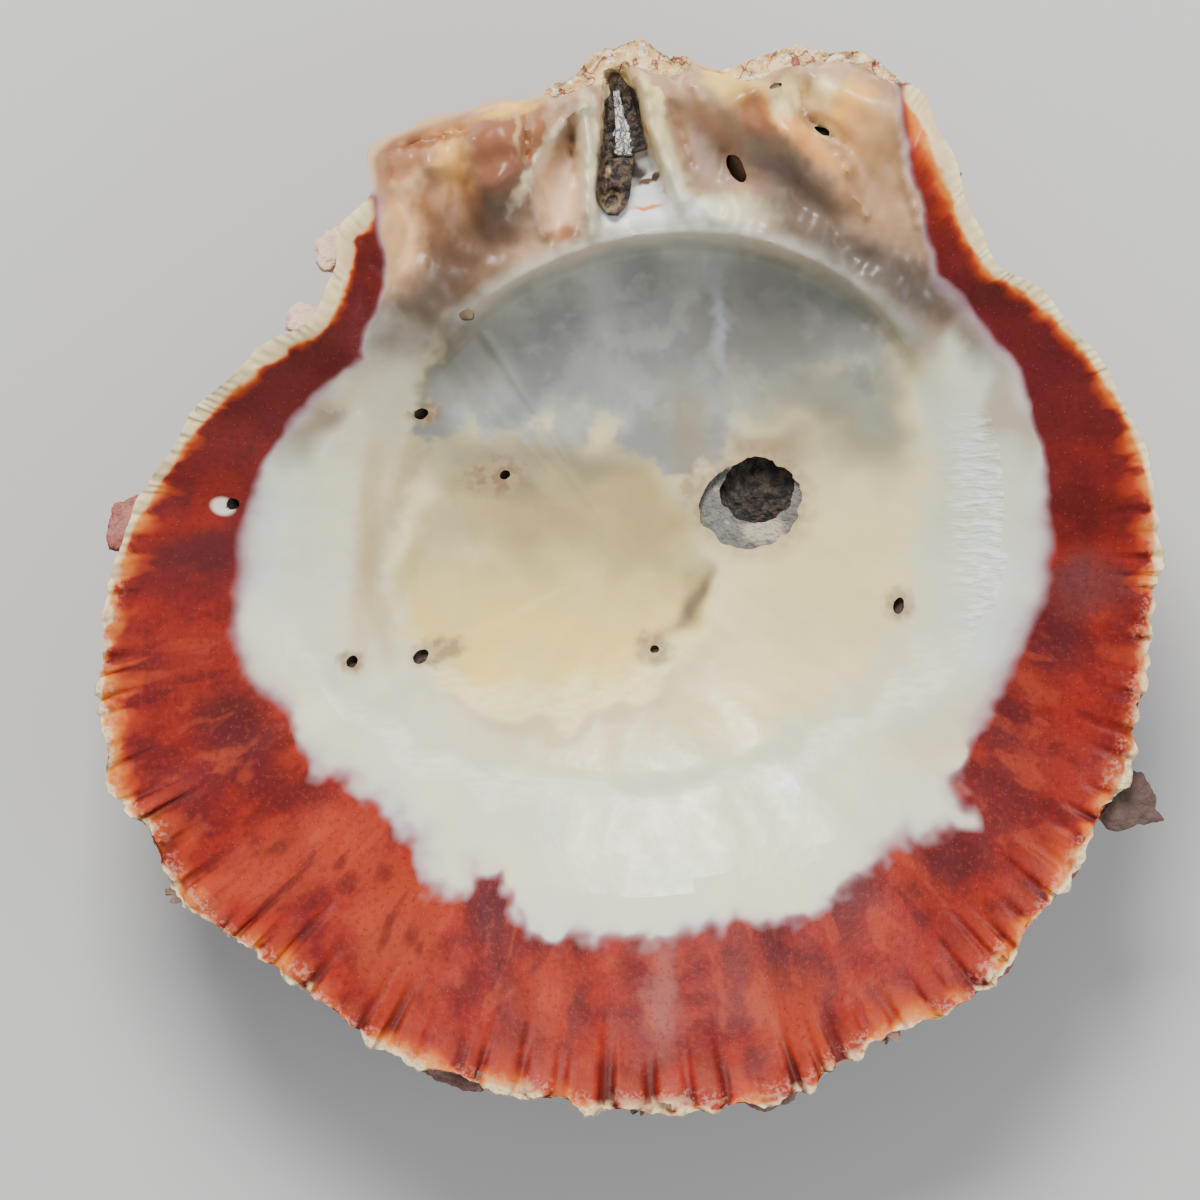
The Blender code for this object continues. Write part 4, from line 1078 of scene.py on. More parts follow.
# Darker shoulders beside the band: partly the shell's own brown, partly painted shade
SHOULDER_TINTS = (
    (-33.0, 32.4, 5.5, 9.0, -40.0, 0.6, 0.9, (0.135, 0.098, 0.070)),
    (-43.0, 24.6, 3.2, 9.0, -42.0, 0.7, 0.8, (0.16, 0.10, 0.063)),
    (31.0, 44.5, 5.0, 2.4, -25.0, 0.7, 0.7, (0.13, 0.110, 0.086)),
    (38.5, 36.5, 6.0, 3.0, -45.0, 0.7, 0.6, (0.17, 0.170, 0.150)),
    (37.5, 43.0, 6.5, 2.6, -40.0, 0.7, 0.6, (0.095, 0.068, 0.053)),
    (51.0, 29.5, 9.5, 2.4, -62.0, 0.7, 0.85, (0.155, 0.108, 0.075)),
)
PIT_TINTS = (
    (-5.2, 61.0, 0.8, 7.0, -4.0, 0.5, 0.95, (0.75, 0.31, 0.03)),
    (2.9, 63.0, 0.8, 5.6, 17.0, 0.5, 0.95, (0.56, 0.26, 0.03)),
    (-2.0, 70.6, 3.6, 1.6, 0.0, 0.6, 0.9, (0.96, 0.72, 0.24)),
    (2.3, 52.5, 2.1, 0.4, 3.0, 0.7, 0.95, (0.80, 0.22, 0.01)),
    (0.9, 57.4, 1.2, 1.6, 0.0, 0.35, 0.95, (0.022, 0.011, 0.008)),
    (2.2, 56.0, 1.6, 0.35, 14.0, 0.5, 0.95, (0.10, 0.032, 0.014)),
    (3.6, 57.0, 0.35, 0.9, -20.0, 0.5, 0.95, (0.06, 0.018, 0.010)),
    (5.0, 54.5, 0.3, 0.7, 20.0, 0.5, 0.9, (0.46, 0.13, 0.03)),
    (2.2, 58.8, 1.0, 1.4, 0.0, 0.4, 0.8, (0.32, 0.33, 0.34)),
)
DARK, MAROON = (0.090, 0.012, 0.015), (0.13, 0.013, 0.015)
VIVID, ORANGE = (0.29, 0.020, 0.012), (0.38, 0.040, 0.015)
RED_SOFTNESS = 0.7
RED_PATCHES = (           # middle, half length, half width, turn, tint, share
    (-55.8, -23.1, 5.0, 7.0, 20.0, DARK, 0.9), (-60.7, 3.0, 8.0, 3.2, 0.0, DARK, 0.85),
    (-19.9, -47.0, 2.6, 6.0, 0.0, DARK, 0.95), (1.3, -55.0, 2.0, 3.6, 0.0, MAROON, 0.8),
    (-17.6, -60.0, 2.0, 8.0, 10.0, MAROON, 0.8), (21.0, -54.0, 3.0, 7.0, 20.0, DARK, 0.9),
    (30.8, -46.6, 5.0, 4.0, 20.0, DARK, 0.8), (15.0, -56.0, 2.0, 8.0, 0.0, MAROON, 0.7),
    (46.3, -40.0, 6.0, 4.0, 30.0, DARK, 0.9), (52.0, -31.5, 6.0, 5.0, 0.0, MAROON, 0.9),
    (54.4, -21.7, 4.5, 7.0, 0.0, DARK, 0.9), (60.0, -9.0, 4.0, 6.0, 0.0, DARK, 0.9),
    (64.2, 9.3, 5.0, 6.0, 0.0, (0.085, 0.008, 0.008), 0.9),
    (-63.0, -31.0, 4.0, 6.0, 0.0, MAROON, 0.7),
    (-42.0, -38.6, 6.0, 5.0, -30.0, ORANGE, 0.95), (-51.8, -41.8, 5.0, 5.0, 0.0, ORANGE, 0.85),
    (-32.5, -45.6, 6.0, 5.0, -30.0, ORANGE, 0.9), (-61.0, -14.0, 5.0, 7.0, 0.0, VIVID, 0.8),
    (-12.0, -60.0, 4.0, 7.0, 0.0, ORANGE, 0.6), (23.5, -64.0, 4.0, 7.0, 10.0, ORANGE, 0.8),
    (38.0, -52.0, 5.0, 6.0, 30.0, VIVID, 0.8), (62.0, -24.0, 4.0, 8.0, -10.0, VIVID, 0.9),
    (64.6, -1.5, 5.0, 4.2, 0.0, (0.13, 0.034, 0.034), 0.85),
    (4.6, -59.5, 2.4, 8.0, 0.0, (0.33, 0.085, 0.070), 0.9),
    (-35.0, -52.0, 5.0, 5.0, -40.0, (0.37, 0.052, 0.022), 0.85),
    (-57.0, -20.0, 4.0, 4.0, 0.0, (0.085, 0.013, 0.014), 0.8),
    (57.0, -26.0, 4.0, 4.0, 0.0, (0.20, 0.018, 0.014), 0.7),
)
RED_TINTS = tuple(
    (x, y, length, width, turn, RED_SOFTNESS, share, tint)
    for x, y, length, width, turn, tint, share in RED_PATCHES
)


def porcelain(paint):
    """White, a little warmer and cooler in places, and darker on the shoulders beside the band, partly
    the shell's own brown and partly painted shade.
    """
    white = paint.patches((0.76, 0.79, 0.62), (0.86, 0.81, 0.56), 14.0, 0.38, 0.62, seed=5.0)
    return paint.tinted(white, WHITE_TINTS, paint.soft)


def with_cavity(paint, colour, low_part=True):
    """Cream and golden below, the golden disc olive and darker towards its top as painted shade, with a
    pale streaked arc along the pallial line that is partly painted highlight. Under the hinge plate a
    cloudy grey, partly the thin shell's own grey and partly painted shade, with satin patches that are
    partly painted sheen. The low part lies out of the hinge's reach."""
    fall = paint.away(-2.0, 5.0, 53.0, 37.5, 0.0, paint.soft)
    streak_place = paint.vector(paint.times(paint.x, 0.5), paint.times(paint.y, 1.6))
    streaks = paint.noise(1.6, 2.0, at=streak_place, seed=18.0)
    colour = paint.mix(paint.times(paint.steps(fall, 1.0, 0.90), 0.4), colour, (0.70, 0.63, 0.40))
    if low_part:
        # A pale streaked arc along the pallial line below the cavity: partly the line's own pale colour,
        # partly painted highlight.
        below = paint.steps(paint.y, -4.0, -16.0)
        arc = paint.times(paint.ring(fall, 0.90, 0.97, 0.99, 1.06), below)
        streaked = paint.steps(streaks, 0.35, 0.62, 0.2, 0.9)
        colour = paint.mix(paint.times(arc, streaked), colour, (0.98, 0.94, 0.74))
    wavering = paint.uneven(-0.03, 0.03, 5.0, 0.3, 0.7, seed=16.0, detail=2.0)
    cavity = paint.plus(paint.sign("cavity"), wavering)
    in_cavity = paint.steps(cavity, paint.steps(paint.y, 18.0, 36.0, 0.84, 0.955), 1.0, 1.0, 0.0)
    cream = paint.patches((0.78, 0.70, 0.38), (0.92, 0.80, 0.42), 11.0, 0.38, 0.62, seed=3.0, detail=2.0)
    if low_part:
        scar_way = paint.away(-12.3, -0.9, 24.0, 20.6, 0.0, paint.soft)
        scar = paint.steps(scar_way, 0.86, 1.04, 1.0, 0.0)
        # Painted shade: the golden disc is olive and darker towards its top, bright golden below.
        golden = paint.mix(paint.steps(paint.y, 8.0, -14.0), (0.56, 0.46, 0.19), (1.00, 0.72, 0.14))
        golden = paint.patches(golden, (0.80, 0.62, 0.24), 7.0, 0.42, 0.66, seed=4.0, share=0.6)
        cream = paint.mix(paint.times(scar, 0.92), cream, golden)
        arc = paint.times(paint.ring(scar_way, 0.74, 0.90, 0.95, 1.03), paint.steps(paint.y, -6.0, -15.0))
        streaked = paint.steps(streaks, 0.3, 0.6, 0.4, 0.95)
        cream = paint.mix(paint.times(arc, streaked), cream, (1.0, 0.90, 0.44))
        edge = paint.times(paint.ring(scar_way, 0.95, 1.02, 1.04, 1.16), below)
        cream = paint.mix(paint.times(edge, 0.6), cream, (0.60, 0.50, 0.28))
    cream = paint.tinted(cream, CAVITY_TINTS, paint.soft)
    colour = paint.mix(paint.times(in_cavity, 0.95), colour, cream)
    colour = paint.tinted(colour, LEFT_STREAKS, paint.fine)
    # The cloudy grey under the hinge plate is partly the thin shell's own grey and partly painted shade. Its
    # paler clouds are partly painted sheen.
    clouds = paint.noise(5.0, 3.0, seed=12.0)
    reach = paint.steps(paint.x, 8.0, 22.0, 2.4, 1.4)
    grey_way = paint.plus(paint.sign("grey"), paint.times(paint.steps(clouds, 0.3, 0.7, -1.0, 1.0), reach))
    grey_way = paint.sum("DIVIDE", grey_way, paint.steps(paint.x, 8.0, 22.0, 2.0, 5.0))
    up_to = paint.steps(paint.y, 26.0, 38.0, 0.96, 1.10)
    inside_edge = paint.steps(paint.sum("DIVIDE", cavity, up_to), 0.94, 1.0, 1.0, 0.0)
    grey = paint.times(paint.steps(grey_way, 1.0, -1.0), inside_edge)
    tone = paint.patches((0.27, 0.275, 0.255), (0.36, 0.37, 0.34), 9.0, 0.36, 0.64, seed=14.0)
    tone = paint.mix(paint.steps(clouds, 0.48, 0.68, 0.0, 0.4), tone, (0.48, 0.50, 0.45))
    tone = paint.tinted(tone, GREY_SHADE_TINTS, paint.loose)
    return paint.mix(grey, colour, tone), grey, streaks


def with_hinge(paint, colour):
    """Tan, with brown, pink, pale and orange places, some of them painted shade and painted highlight,
    a stained pit, and greyish, darker shoulders, partly the shell's own colour and partly painted
    shade.
    """
    tan = paint.patches((0.42, 0.25, 0.14), (0.60, 0.38, 0.22), 6.0, 0.34, 0.66, seed=20.0)
    tan = paint.tinted(tan, HINGE_TINTS, paint.fine)
    pit = paint.mix(paint.steps(paint.y, 52.0, 62.0), (0.82, 0.86, 0.84), (0.72, 0.60, 0.36))
    pit = paint.tinted(pit, PIT_TINTS, paint.fine)
    tan = paint.mix(paint.steps(paint.sign("pit"), 0.25, 0.9), tan, pit)
    # Paler along the margin, partly the cream edge and partly painted highlight; greyish at the cavity's lip,
    # partly painted shade.
    tan = paint.mix(paint.steps(paint.sign("from_rim"), 1.4, 0.4, 0.0, 0.6), tan, (0.86, 0.60, 0.34))
    tan = paint.mix(paint.steps(paint.sign("cavity"), 1.0, 1.07, 0.75, 0.0), tan, (0.50, 0.49, 0.42))
    edge = paint.uneven(-0.15, 0.15, 7.0, 0.3, 0.7, seed=21.0, detail=1.0)
    colour = paint.mix(paint.steps(paint.plus(paint.sign("hinge"), edge), 0.25, 0.85), colour, tan)
    # Darker shoulders: partly the shell's own brown, partly painted shade.
    shoulders = paint.tinted(colour, SHOULDER_TINTS, paint.fine)
    return paint.mix(paint.steps(paint.y, *SHOULDER_FADE), colour, shoulders)


def crusted(paint, colour):
    """Chalk with maroon layers and grains, behind the hinge."""
    chalk = paint.patches(
        (0.98, 0.72, 0.32), (0.72, 0.44, 0.20), 2.6, 0.38, 0.60, seed=56.0, detail=4.0, rough=0.6
    )
    layers = paint.sum("ABSOLUTE", paint.plus(paint.noise(4.0, 3.0, seed=57.0), -0.5))
    chalk = paint.mix(paint.steps(layers, 0.008, 0.030, 0.9, 0.0), chalk, (0.30, 0.06, 0.05))
    chalk = paint.patches(chalk, (0.97, 0.90, 0.66), 1.6, 0.56, 0.66, seed=58.0, share=0.85)
    share = paint.steps(paint.sign("crust"), 0.35, 0.65)
    return paint.mix(share, colour, chalk), share


def red_tone(paint, tints, low, streaks, broad, granules, gaps):
    """Maroon above, vivid below, mottled, and softly streaked along the fingers, with a painted
    highlight along the fingers' backs and gaps darkened partly by their own dark red and partly as
    painted shade.
    """
    red = paint.patches((0.165, 0.012, 0.012), (0.285, 0.018, 0.010), 7.0, 0.36, 0.64, seed=31.0)
    red = paint.mix(paint.times(paint.steps(broad, 0.50, 0.66), low, 0.7), red, (0.35, 0.032, 0.012))
    red = paint.mix(paint.steps(paint.y, 2.0, 28.0, 0.0, 0.92), red, (0.118, 0.014, 0.015))
    red = paint.mix(paint.steps(paint.y, 42.0, 54.0, 0.0, 0.9), red, (0.24, 0.024, 0.015))
    red = paint.tinted(red, tints, paint.loose)
    red = paint.mix(paint.times(paint.steps(streaks, 0.30, 0.46, 0.65, 0.0), low), red, (0.10, 0.010, 0.010))
    red = paint.mix(paint.times(paint.steps(streaks, 0.56, 0.70, 0.0, 0.4), low), red, (0.46, 0.060, 0.022))
    grainy = paint.times(paint.steps(granules, 0.54, 0.76, 0.0, 0.25), paint.steps(low, 0.0, 1.0, 0.3, 1.0))
    red = paint.mix(grainy, red, (0.42, 0.055, 0.030))
    red = paint.mix(paint.steps(granules, 0.26, 0.44, 0.35, 0.0), red, (0.07, 0.007, 0.007))
    # Painted highlight: lighter orange along the middle of each finger's back.
    red = paint.mix(paint.steps(paint.sign("painted_finger_highlight"), 0.1, 0.9, 0.0, 0.55), red, (0.45, 0.052, 0.020))
    # Darker in the gaps between the fingers: partly dark red, partly painted shade.
    red = paint.mix(paint.times(gaps, 0.75), red, (0.065, 0.007, 0.006))
    specks = add_node(
        paint.tree, "TexVoronoi", {"Vector": paint.place, "Scale": 0.42}, voronoi_dimensions="2D"
    ).outputs[0]
    return paint.mix(paint.steps(specks, 0.02, 0.035, 0.18, 0.0), red, (0.62, 0.40, 0.34))


def with_seam(paint, colour, red):
    """The porcelain, then a hazy purple seam, sharper towards the hinge, then the red."""
    sharp = paint.steps(paint.y, 2.0, 18.0)
    uneven = paint.uneven(-0.9, 0.9, 4.0, 0.25, 0.75, seed=40.0, detail=1.0)
    uneven = paint.times(uneven, paint.steps(paint.y, -14.0, -28.0, 0.3, 1.0))
    edge = paint.plus(paint.sign("band"), uneven)
    haze_reach = paint.uneven(0.5, 1.5, 16.0, 0.35, 0.65, seed=43.0, detail=1.0)
    hazed = paint.sum("DIVIDE", edge, paint.times(haze_reach, paint.steps(sharp, 0.0, 1.0, 1.0, 0.45)))
    colour = paint.mix(paint.steps(hazed, -4.2, 0.4, 0.0, 0.55), colour, (0.48, 0.38, 0.44))
    colour = paint.mix(paint.steps(hazed, -1.9, 0.3, 0.0, 0.75), colour, (0.34, 0.14, 0.19))
    crossed = paint.sum("DIVIDE", edge, paint.steps(sharp, 0.0, 1.0, 1.0, 0.5))
    colour = paint.mix(paint.steps(crossed, -1.0, 1.1), colour, red)
    chip = paint.spot(-58.0, 9.9, 1.6, 1.2, -10.0, 0.3)      # pale, beside the boring in the band
    return paint.mix(paint.times(chip, 0.95), colour, (0.90, 0.84, 0.70))


def with_edge(paint, colour, low, streaks, granules, gaps):
    """Red, orange and yellow flames, partly the edge's own colour and partly painted glow of light
    shining through the thin edge, then cream, and pale tips on the fingers, partly crust and partly
    painted highlight.
    """
    band, rim_way = paint.sign("band"), paint.sign("from_rim")
    wide_flames = paint.steps(streaks, 0.28, 0.72)
    flames = paint.level(
        paint.steps(paint.y, 14.0, 30.0),
        paint.steps(wide_flames, 0.0, 1.0, 0.25, 1.9),
        paint.steps(wide_flames, 0.0, 1.0, 0.7, 1.3),
    )
    patchy = paint.noise(3.6, 2.0, seed=51.0)
    even, uneven = paint.steps(patchy, 0.3, 0.7, 0.85, 1.15), paint.steps(patchy, 0.40, 0.66, 0.0, 2.2)
    jitter = paint.level(low, even, uneven)
    past_cream = paint.sum("SUBTRACT", rim_way, paint.times(paint.sign("cream_width"), jitter))
    glow_at = paint.sum("DIVIDE", past_cream, paint.times(paint.sign("glow_width"), flames))
    glowing = paint.uneven(0.25, 1.0, 11.0, 0.40, 0.56, seed=49.0, detail=0.0)
    in_band = paint.steps(band, -0.2, 1.2)
    glowing = paint.times(paint.level(low, 1.0, glowing), in_band)
    # The orange glow is partly the edge's own colour and partly painted light shining through the thin edge.
    red_glow = paint.times(paint.steps(glow_at, 0.2, 1.5, 0.9, 0.0), glowing)
    colour = paint.mix(red_glow, colour, (0.50, 0.052, 0.010))
    orange_glow = paint.times(paint.steps(glow_at, -0.2, 0.75, 0.95, 0.0), glowing)
    colour = paint.mix(orange_glow, colour, (0.84, 0.30, 0.035))
    cream = paint.mix(paint.steps(patchy, 0.36, 0.60), (0.94, 0.82, 0.46), (0.86, 0.66, 0.36))
    specked = paint.times(paint.steps(granules, 0.50, 0.62, 0.0, 0.6), low)
    cream = paint.mix(specked, cream, (0.40, 0.27, 0.21))
    colour = paint.mix(paint.times(paint.steps(past_cream, -0.45, 0.35, 1.0, 0.0), in_band), colour, cream)
    beyond = paint.times(paint.sign("beyond_tips"), paint.steps(patchy, 0.42, 0.58, 0.0, 0.8))
    colour = paint.mix(beyond, colour, cream)
    # Pale tips on the fingers: partly crust, partly painted highlight.
    tips = paint.times(paint.sign("tip"), paint.steps(gaps, 0.6, 0.0))
    tips = paint.times(tips, paint.steps(granules, 0.44, 0.64, 0.0, 0.55))
    colour = paint.mix(tips, colour, (0.70, 0.34, 0.26))
    beads = paint.plus(paint.times(paint.sign("flute"), 12.0), paint.times(patchy, 5.0))
    beads = paint.sum("SINE", beads)
    on_edge = paint.times(paint.steps(rim_way, 2.6, 1.0), paint.steps(low, 1.0, 0.0), in_band)
    relief = paint.plus(
        paint.times(granules, paint.steps(band, -0.5, 1.0), 0.05),
        paint.times(beads, on_edge, 0.07),
        paint.times(paint.plus(patchy, -0.5), paint.sign("beyond_tips"), 0.5),
    )
    return colour, relief


def with_red(paint, colour, tints):
    """The red band from its inner seam to its fluted edge, and the edge's relief."""
    low = paint.steps(paint.y, 10.0, -20.0)
    streak_place = paint.vector(paint.sign("flute"), paint.times(paint.sign("from_rim"), 0.14))
    streaks = paint.noise(1.2, 2.0, at=streak_place, seed=30.0)
    broad = paint.noise(4.0, 2.0, at=streak_place, seed=33.0)
    granules = paint.noise(0.8, 2.0, seed=35.0, rough=0.65)
    gaps = paint.steps(paint.sign("gap"), 0.06, 0.8)
    red = red_tone(paint, tints, low, streaks, broad, granules, gaps)
    colour = with_seam(paint, colour, red)
    return with_edge(paint, colour, low, streaks, granules, gaps)


STAINS = (                # middle, half length, half width, turn, softness, share
    (17.8, 10.8, 8.8, 7.6, 0.0, 0.3, 0.75), (9.6, 13.6, 2.0, 2.4, -30.0, 0.4, 0.7),
    (-19.6, 14.6, 4.2, 2.7, 10.0, 0.4, 0.85), (-27.8, -10.8, 4.0, 2.0, 18.0, 0.4, 0.85),
    (3.4, -10.4, 2.6, 2.6, 0.0, 0.5, 0.85), (38.8, -3.9, 1.9, 2.4, 0.0, 0.5, 0.8),
    (-40.2, -12.3, 1.8, 1.6, 0.0, 0.5, 0.9), (-29.7, 23.6, 2.2, 1.8, 20.0, 0.5, 0.9),
    (-23.4, 37.2, 1.6, 1.2, 0.0, 0.5, 0.8),
)


def bored(paint, colour):
    """Stains and crust round the borings, and the borings themselves, their insides darkened as painted
    shade.
    """
    tone = paint.patches((0.30, 0.19, 0.095), (0.46, 0.34, 0.19), 1.8, 0.40, 0.60, seed=65.0)
    around = 0.0
    for *shape, share in STAINS:
        around = paint.most(around, paint.times(paint.spot(*shape, paint.fine), share))
    colour = paint.mix(around, colour, tone)
    hole = paint.sign("hole")
    rough = paint.noise(1.4, 3.0, seed=66.0)
    ledge = paint.mix(paint.steps(rough, 0.40, 0.60), (0.165, 0.160, 0.142), (0.205, 0.200, 0.180))
    flake = paint.times(paint.spot(19.6, 6.8, 3.0, 1.8, 0.0, 0.4, paint.fine), 0.85)
    ledge = paint.mix(flake, ledge, (0.58, 0.52, 0.39))
    ledge = paint.mix(paint.steps(hole, 1.15, 1.3), ledge, (0.80, 0.70, 0.50))
    # Small holes get dark walls and all holes near-black floors: painted shade inside the holes.
    largest = paint.spot(18.0, 11.0, 9.0, 9.0, 0.0, 0.1)
    ledge = paint.mix(largest, (0.075, 0.050, 0.034), ledge)
    colour = paint.mix(paint.steps(hole, 0.35, 0.65), colour, ledge)
    black = paint.mix(paint.steps(rough, 0.42, 0.62), (0.014, 0.011, 0.010), (0.060, 0.042, 0.030))
    colour = paint.mix(paint.steps(hole, 1.45, 1.8), colour, black)
    return colour, around, paint.steps(hole, 0.3, 0.8)


# The bowl: porcelain round the cavity
paint = Paint("Valve_porcelain_bowl", flat=True)
colour, grey, streaks = with_cavity(paint, porcelain(paint))
# Painted highlight: short white glints on the rippled satin patch at the right; its ripples are also in the
# relief.
satin = paint.spot(52.0, 2.0, 5.0, 20.0, 6.0, 0.6)
glare = paint.times(satin, paint.steps(streaks, 0.50, 0.66, 0.0, 0.8))
colour = paint.mix(glare, colour, (0.96, 0.99, 0.95))
colour, stained, hollow = bored(paint, colour)
broad = paint.noise(3.0, 2.0, seed=80.0)
gloss = paint.level(paint.times(grey, 0.7), paint.steps(broad, 0.3, 0.7, 0.26, 0.38), 0.42)
gloss = paint.level(paint.most(hollow, stained), gloss, 0.75)
ripples = paint.times(paint.plus(streaks, -0.5), satin, 0.45)
crack = paint.times(paint.spot(-14.6, -45.5, 0.16, 6.0, -5.0, 0.6), -0.12)
grains = paint.times(paint.plus(paint.noise(0.9, 2.0, seed=85.0), -0.5), hollow, 0.5)
relief = paint.plus(paint.times(broad, 0.09), ripples, crack, grains)
bowl_finish = paint.finish(colour, gloss, relief)

# The red band with its fluted edge
paint = Paint("Valve_red_band", flat=True)
colour, relief = with_red(paint, porcelain(paint), RED_TINTS)
# Near black in the holes of the band: painted shade.
colour = paint.mix(paint.steps(paint.sign("hole"), 0.3, 0.7), colour, (0.030, 0.026, 0.020))
relief = paint.plus(relief, paint.times(paint.noise(3.0, 2.0, seed=80.0), 0.09))
gloss = paint.steps(paint.sign("from_rim"), 0.0, 4.0, 0.6, 0.48)
band_finish = paint.finish(colour, gloss, relief, 0.16)

# The hinge plate and both ears
paint = Paint("Valve_toothed_hinge", flat=True)
colour = with_cavity(paint, porcelain(paint), low_part=False)[0]
colour = with_hinge(paint, colour)
colour, red_relief = with_red(paint, colour, ())
colour, chalky = crusted(paint, colour)
hole = paint.sign("hole")
# Dark floors of the holes in the hinge: painted shade.
bottom = paint.mix(paint.steps(hole, 0.8, 1.2), (0.42, 0.32, 0.20), (0.05, 0.03, 0.02))
colour = paint.mix(paint.steps(hole, 0.3, 0.9), colour, bottom)
broad = paint.noise(2.6, 2.0, seed=80.0)
gloss = paint.steps(broad, 0.3, 0.7, 0.29, 0.42)
matt = paint.most(paint.steps(paint.sign("from_rim"), 0.0, 4.0, 1.0, 0.0), chalky)
gloss = paint.level(matt, gloss, 0.6)
relief = paint.plus(
    paint.times(red_relief, paint.sum("SUBTRACT", 1.0, chalky)),
    paint.times(broad, 0.09),
    paint.times(paint.plus(paint.noise(1.3, 3.0, seed=82.0, rough=0.65), -0.5), chalky, 0.9),
)
hinge_finish = paint.finish(colour, gloss, relief, paint.steps(paint.sign("band"), -0.5, 1.0, 0.4, 0.16))

# Outside: purplish red with paler rays, chalky where it is worn
LUMP_TINTS = (
    # The flake's near-black is painted shade.
    (73.0, -31.5, 8.0, 9.0, 0.0, 0.2, 0.92, (0.048, 0.029, 0.027)),
    (-73.0, 6.6, 5.0, 8.0, 0.0, 0.2, 0.80, (0.33, 0.066, 0.055)),
    (-44.5, 42.0, 7.0, 9.0, 0.0, 0.2, 0.90, (1.00, 0.70, 0.54)),
    (0.0, -73.0, 36.0, 6.0, 0.0, 0.2, 0.8, (0.15, 0.075, 0.065)),
)
paint = Paint("Valve_worn_outside")
ray_place = paint.vector(paint.sign("flute"), paint.times(paint.sign("grown"), 0.10))
rays = paint.noise(2.4, 4.0, at=ray_place, seed=60.0)
outer = paint.mix(paint.steps(rays, 0.38, 0.62), (0.15, 0.018, 0.024), (0.34, 0.075, 0.070))
outer = paint.patches(outer, (0.62, 0.42, 0.34), 14.0, 0.50, 0.66, seed=61.0, detail=5.0, share=0.75)
outer = paint.patches(
    outer, (0.74, 0.64, 0.48), 5.0, 0.55, 0.70, seed=62.0, detail=5.0, rough=0.65, share=0.6
)
outer = paint.mix(paint.steps(paint.sign("from_rim"), 0.0, 2.5, 0.6, 0.0), outer, (0.60, 0.44, 0.32))
spine_tone = paint.patches((0.40, 0.13, 0.11), (0.80, 0.52, 0.38), 3.4, 0.42, 0.60, seed=63.0)
spine_tone = paint.patches(spine_tone, (0.20, 0.035, 0.040), 1.7, 0.54, 0.64, seed=64.0, share=0.8)
spine_tone = paint.tinted(spine_tone, LUMP_TINTS, paint.place)
outer = paint.mix(paint.times(paint.sign("spine"), 0.9), outer, spine_tone)
outside_finish = paint.finish(outer, 0.72, paint.times(paint.noise(1.3, 5.0, seed=82.0, rough=0.65), 0.8))

mesh.materials.clear()
for finish in (bowl_finish, band_finish, hinge_finish, outside_finish):
    mesh.materials.append(finish)
corners = np.zeros(len(mesh.loops), np.int32)
mesh.loops.foreach_get("vertex_index", corners)
starts = np.zeros(len(mesh.polygons), np.int32)
mesh.polygons.foreach_get("loop_start", starts)


def over_faces(values, choose=np.maximum):
    """The largest (or otherwise chosen) value at the corners of each face."""
    return choose.reduceat(values[corners], starts)


# Each face takes one of the four finishes. Along their seams both sides have the same colours, so
# the band's finish reaches in past its haze, and the hinge's finish down over both shoulders.
HAZE_REACH, SHOULDER_FOOT = 5.5, (24.0, 26.0)
finishes = np.where(over_faces(signs["band"]) > -HAZE_REACH, 1, 0)
shoulders = smooth(*SHOULDER_FOOT, plan[:, 1]) * (signs["cavity"] > 0.93) * (signs["band"] < -1.0)
near_hinge = over_faces(np.maximum(np.maximum(signs["hinge"], signs["crust"]), shoulders))
near_hinge = near_hinge * (over_faces(signs["band"], np.minimum) < 2.0)
finishes = np.where(near_hinge > 0.004, 2, finishes)
outwards = np.maximum(signs["outside"], signs["spine"])
finishes = np.where(over_faces(outwards, np.minimum) > 0.5, 3, finishes)
mesh.polygons.foreach_set("material_index", finishes.astype(np.int32))
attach(valve, "root")
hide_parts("valve")

# ---- Ligament ---------------------------------------------------------------------------------
# The dried remnant of the elastic pad that opened the shell: brown-black, with a chalky, cracked
# core and a torn lower end. It still clings to the floor of its pit.

# From the beak down: places along the strip, and its left and right edges there
LIGAMENT_LINE = (71.2, 70.5, 68.6, 66.8, 63.4, 60.6, 60.0, 56.6, 54.7, 52.6, 51.2)
LEFT_EDGE = (-2.9, -3.2, -3.0, -3.7, -3.8, -4.3, -4.4, -4.7, -5.0, -4.5, -3.2)
RIGHT_EDGE = (-1.8, -1.2, 0.5, 0.9, 1.5, 2.3, 0.5, 0.1, 0.0, -0.6, -1.8)
# The chalky core's edges: how far up, how far across
CORE_LEFT = ((68.6, -2.3), (64.0, -2.3), (59.6, -2.5))
CORE_RIGHT = ((68.6, -1.4), (64.0, -1.0), (59.6, 0.1))
LEAST_THICKNESS = 0.4

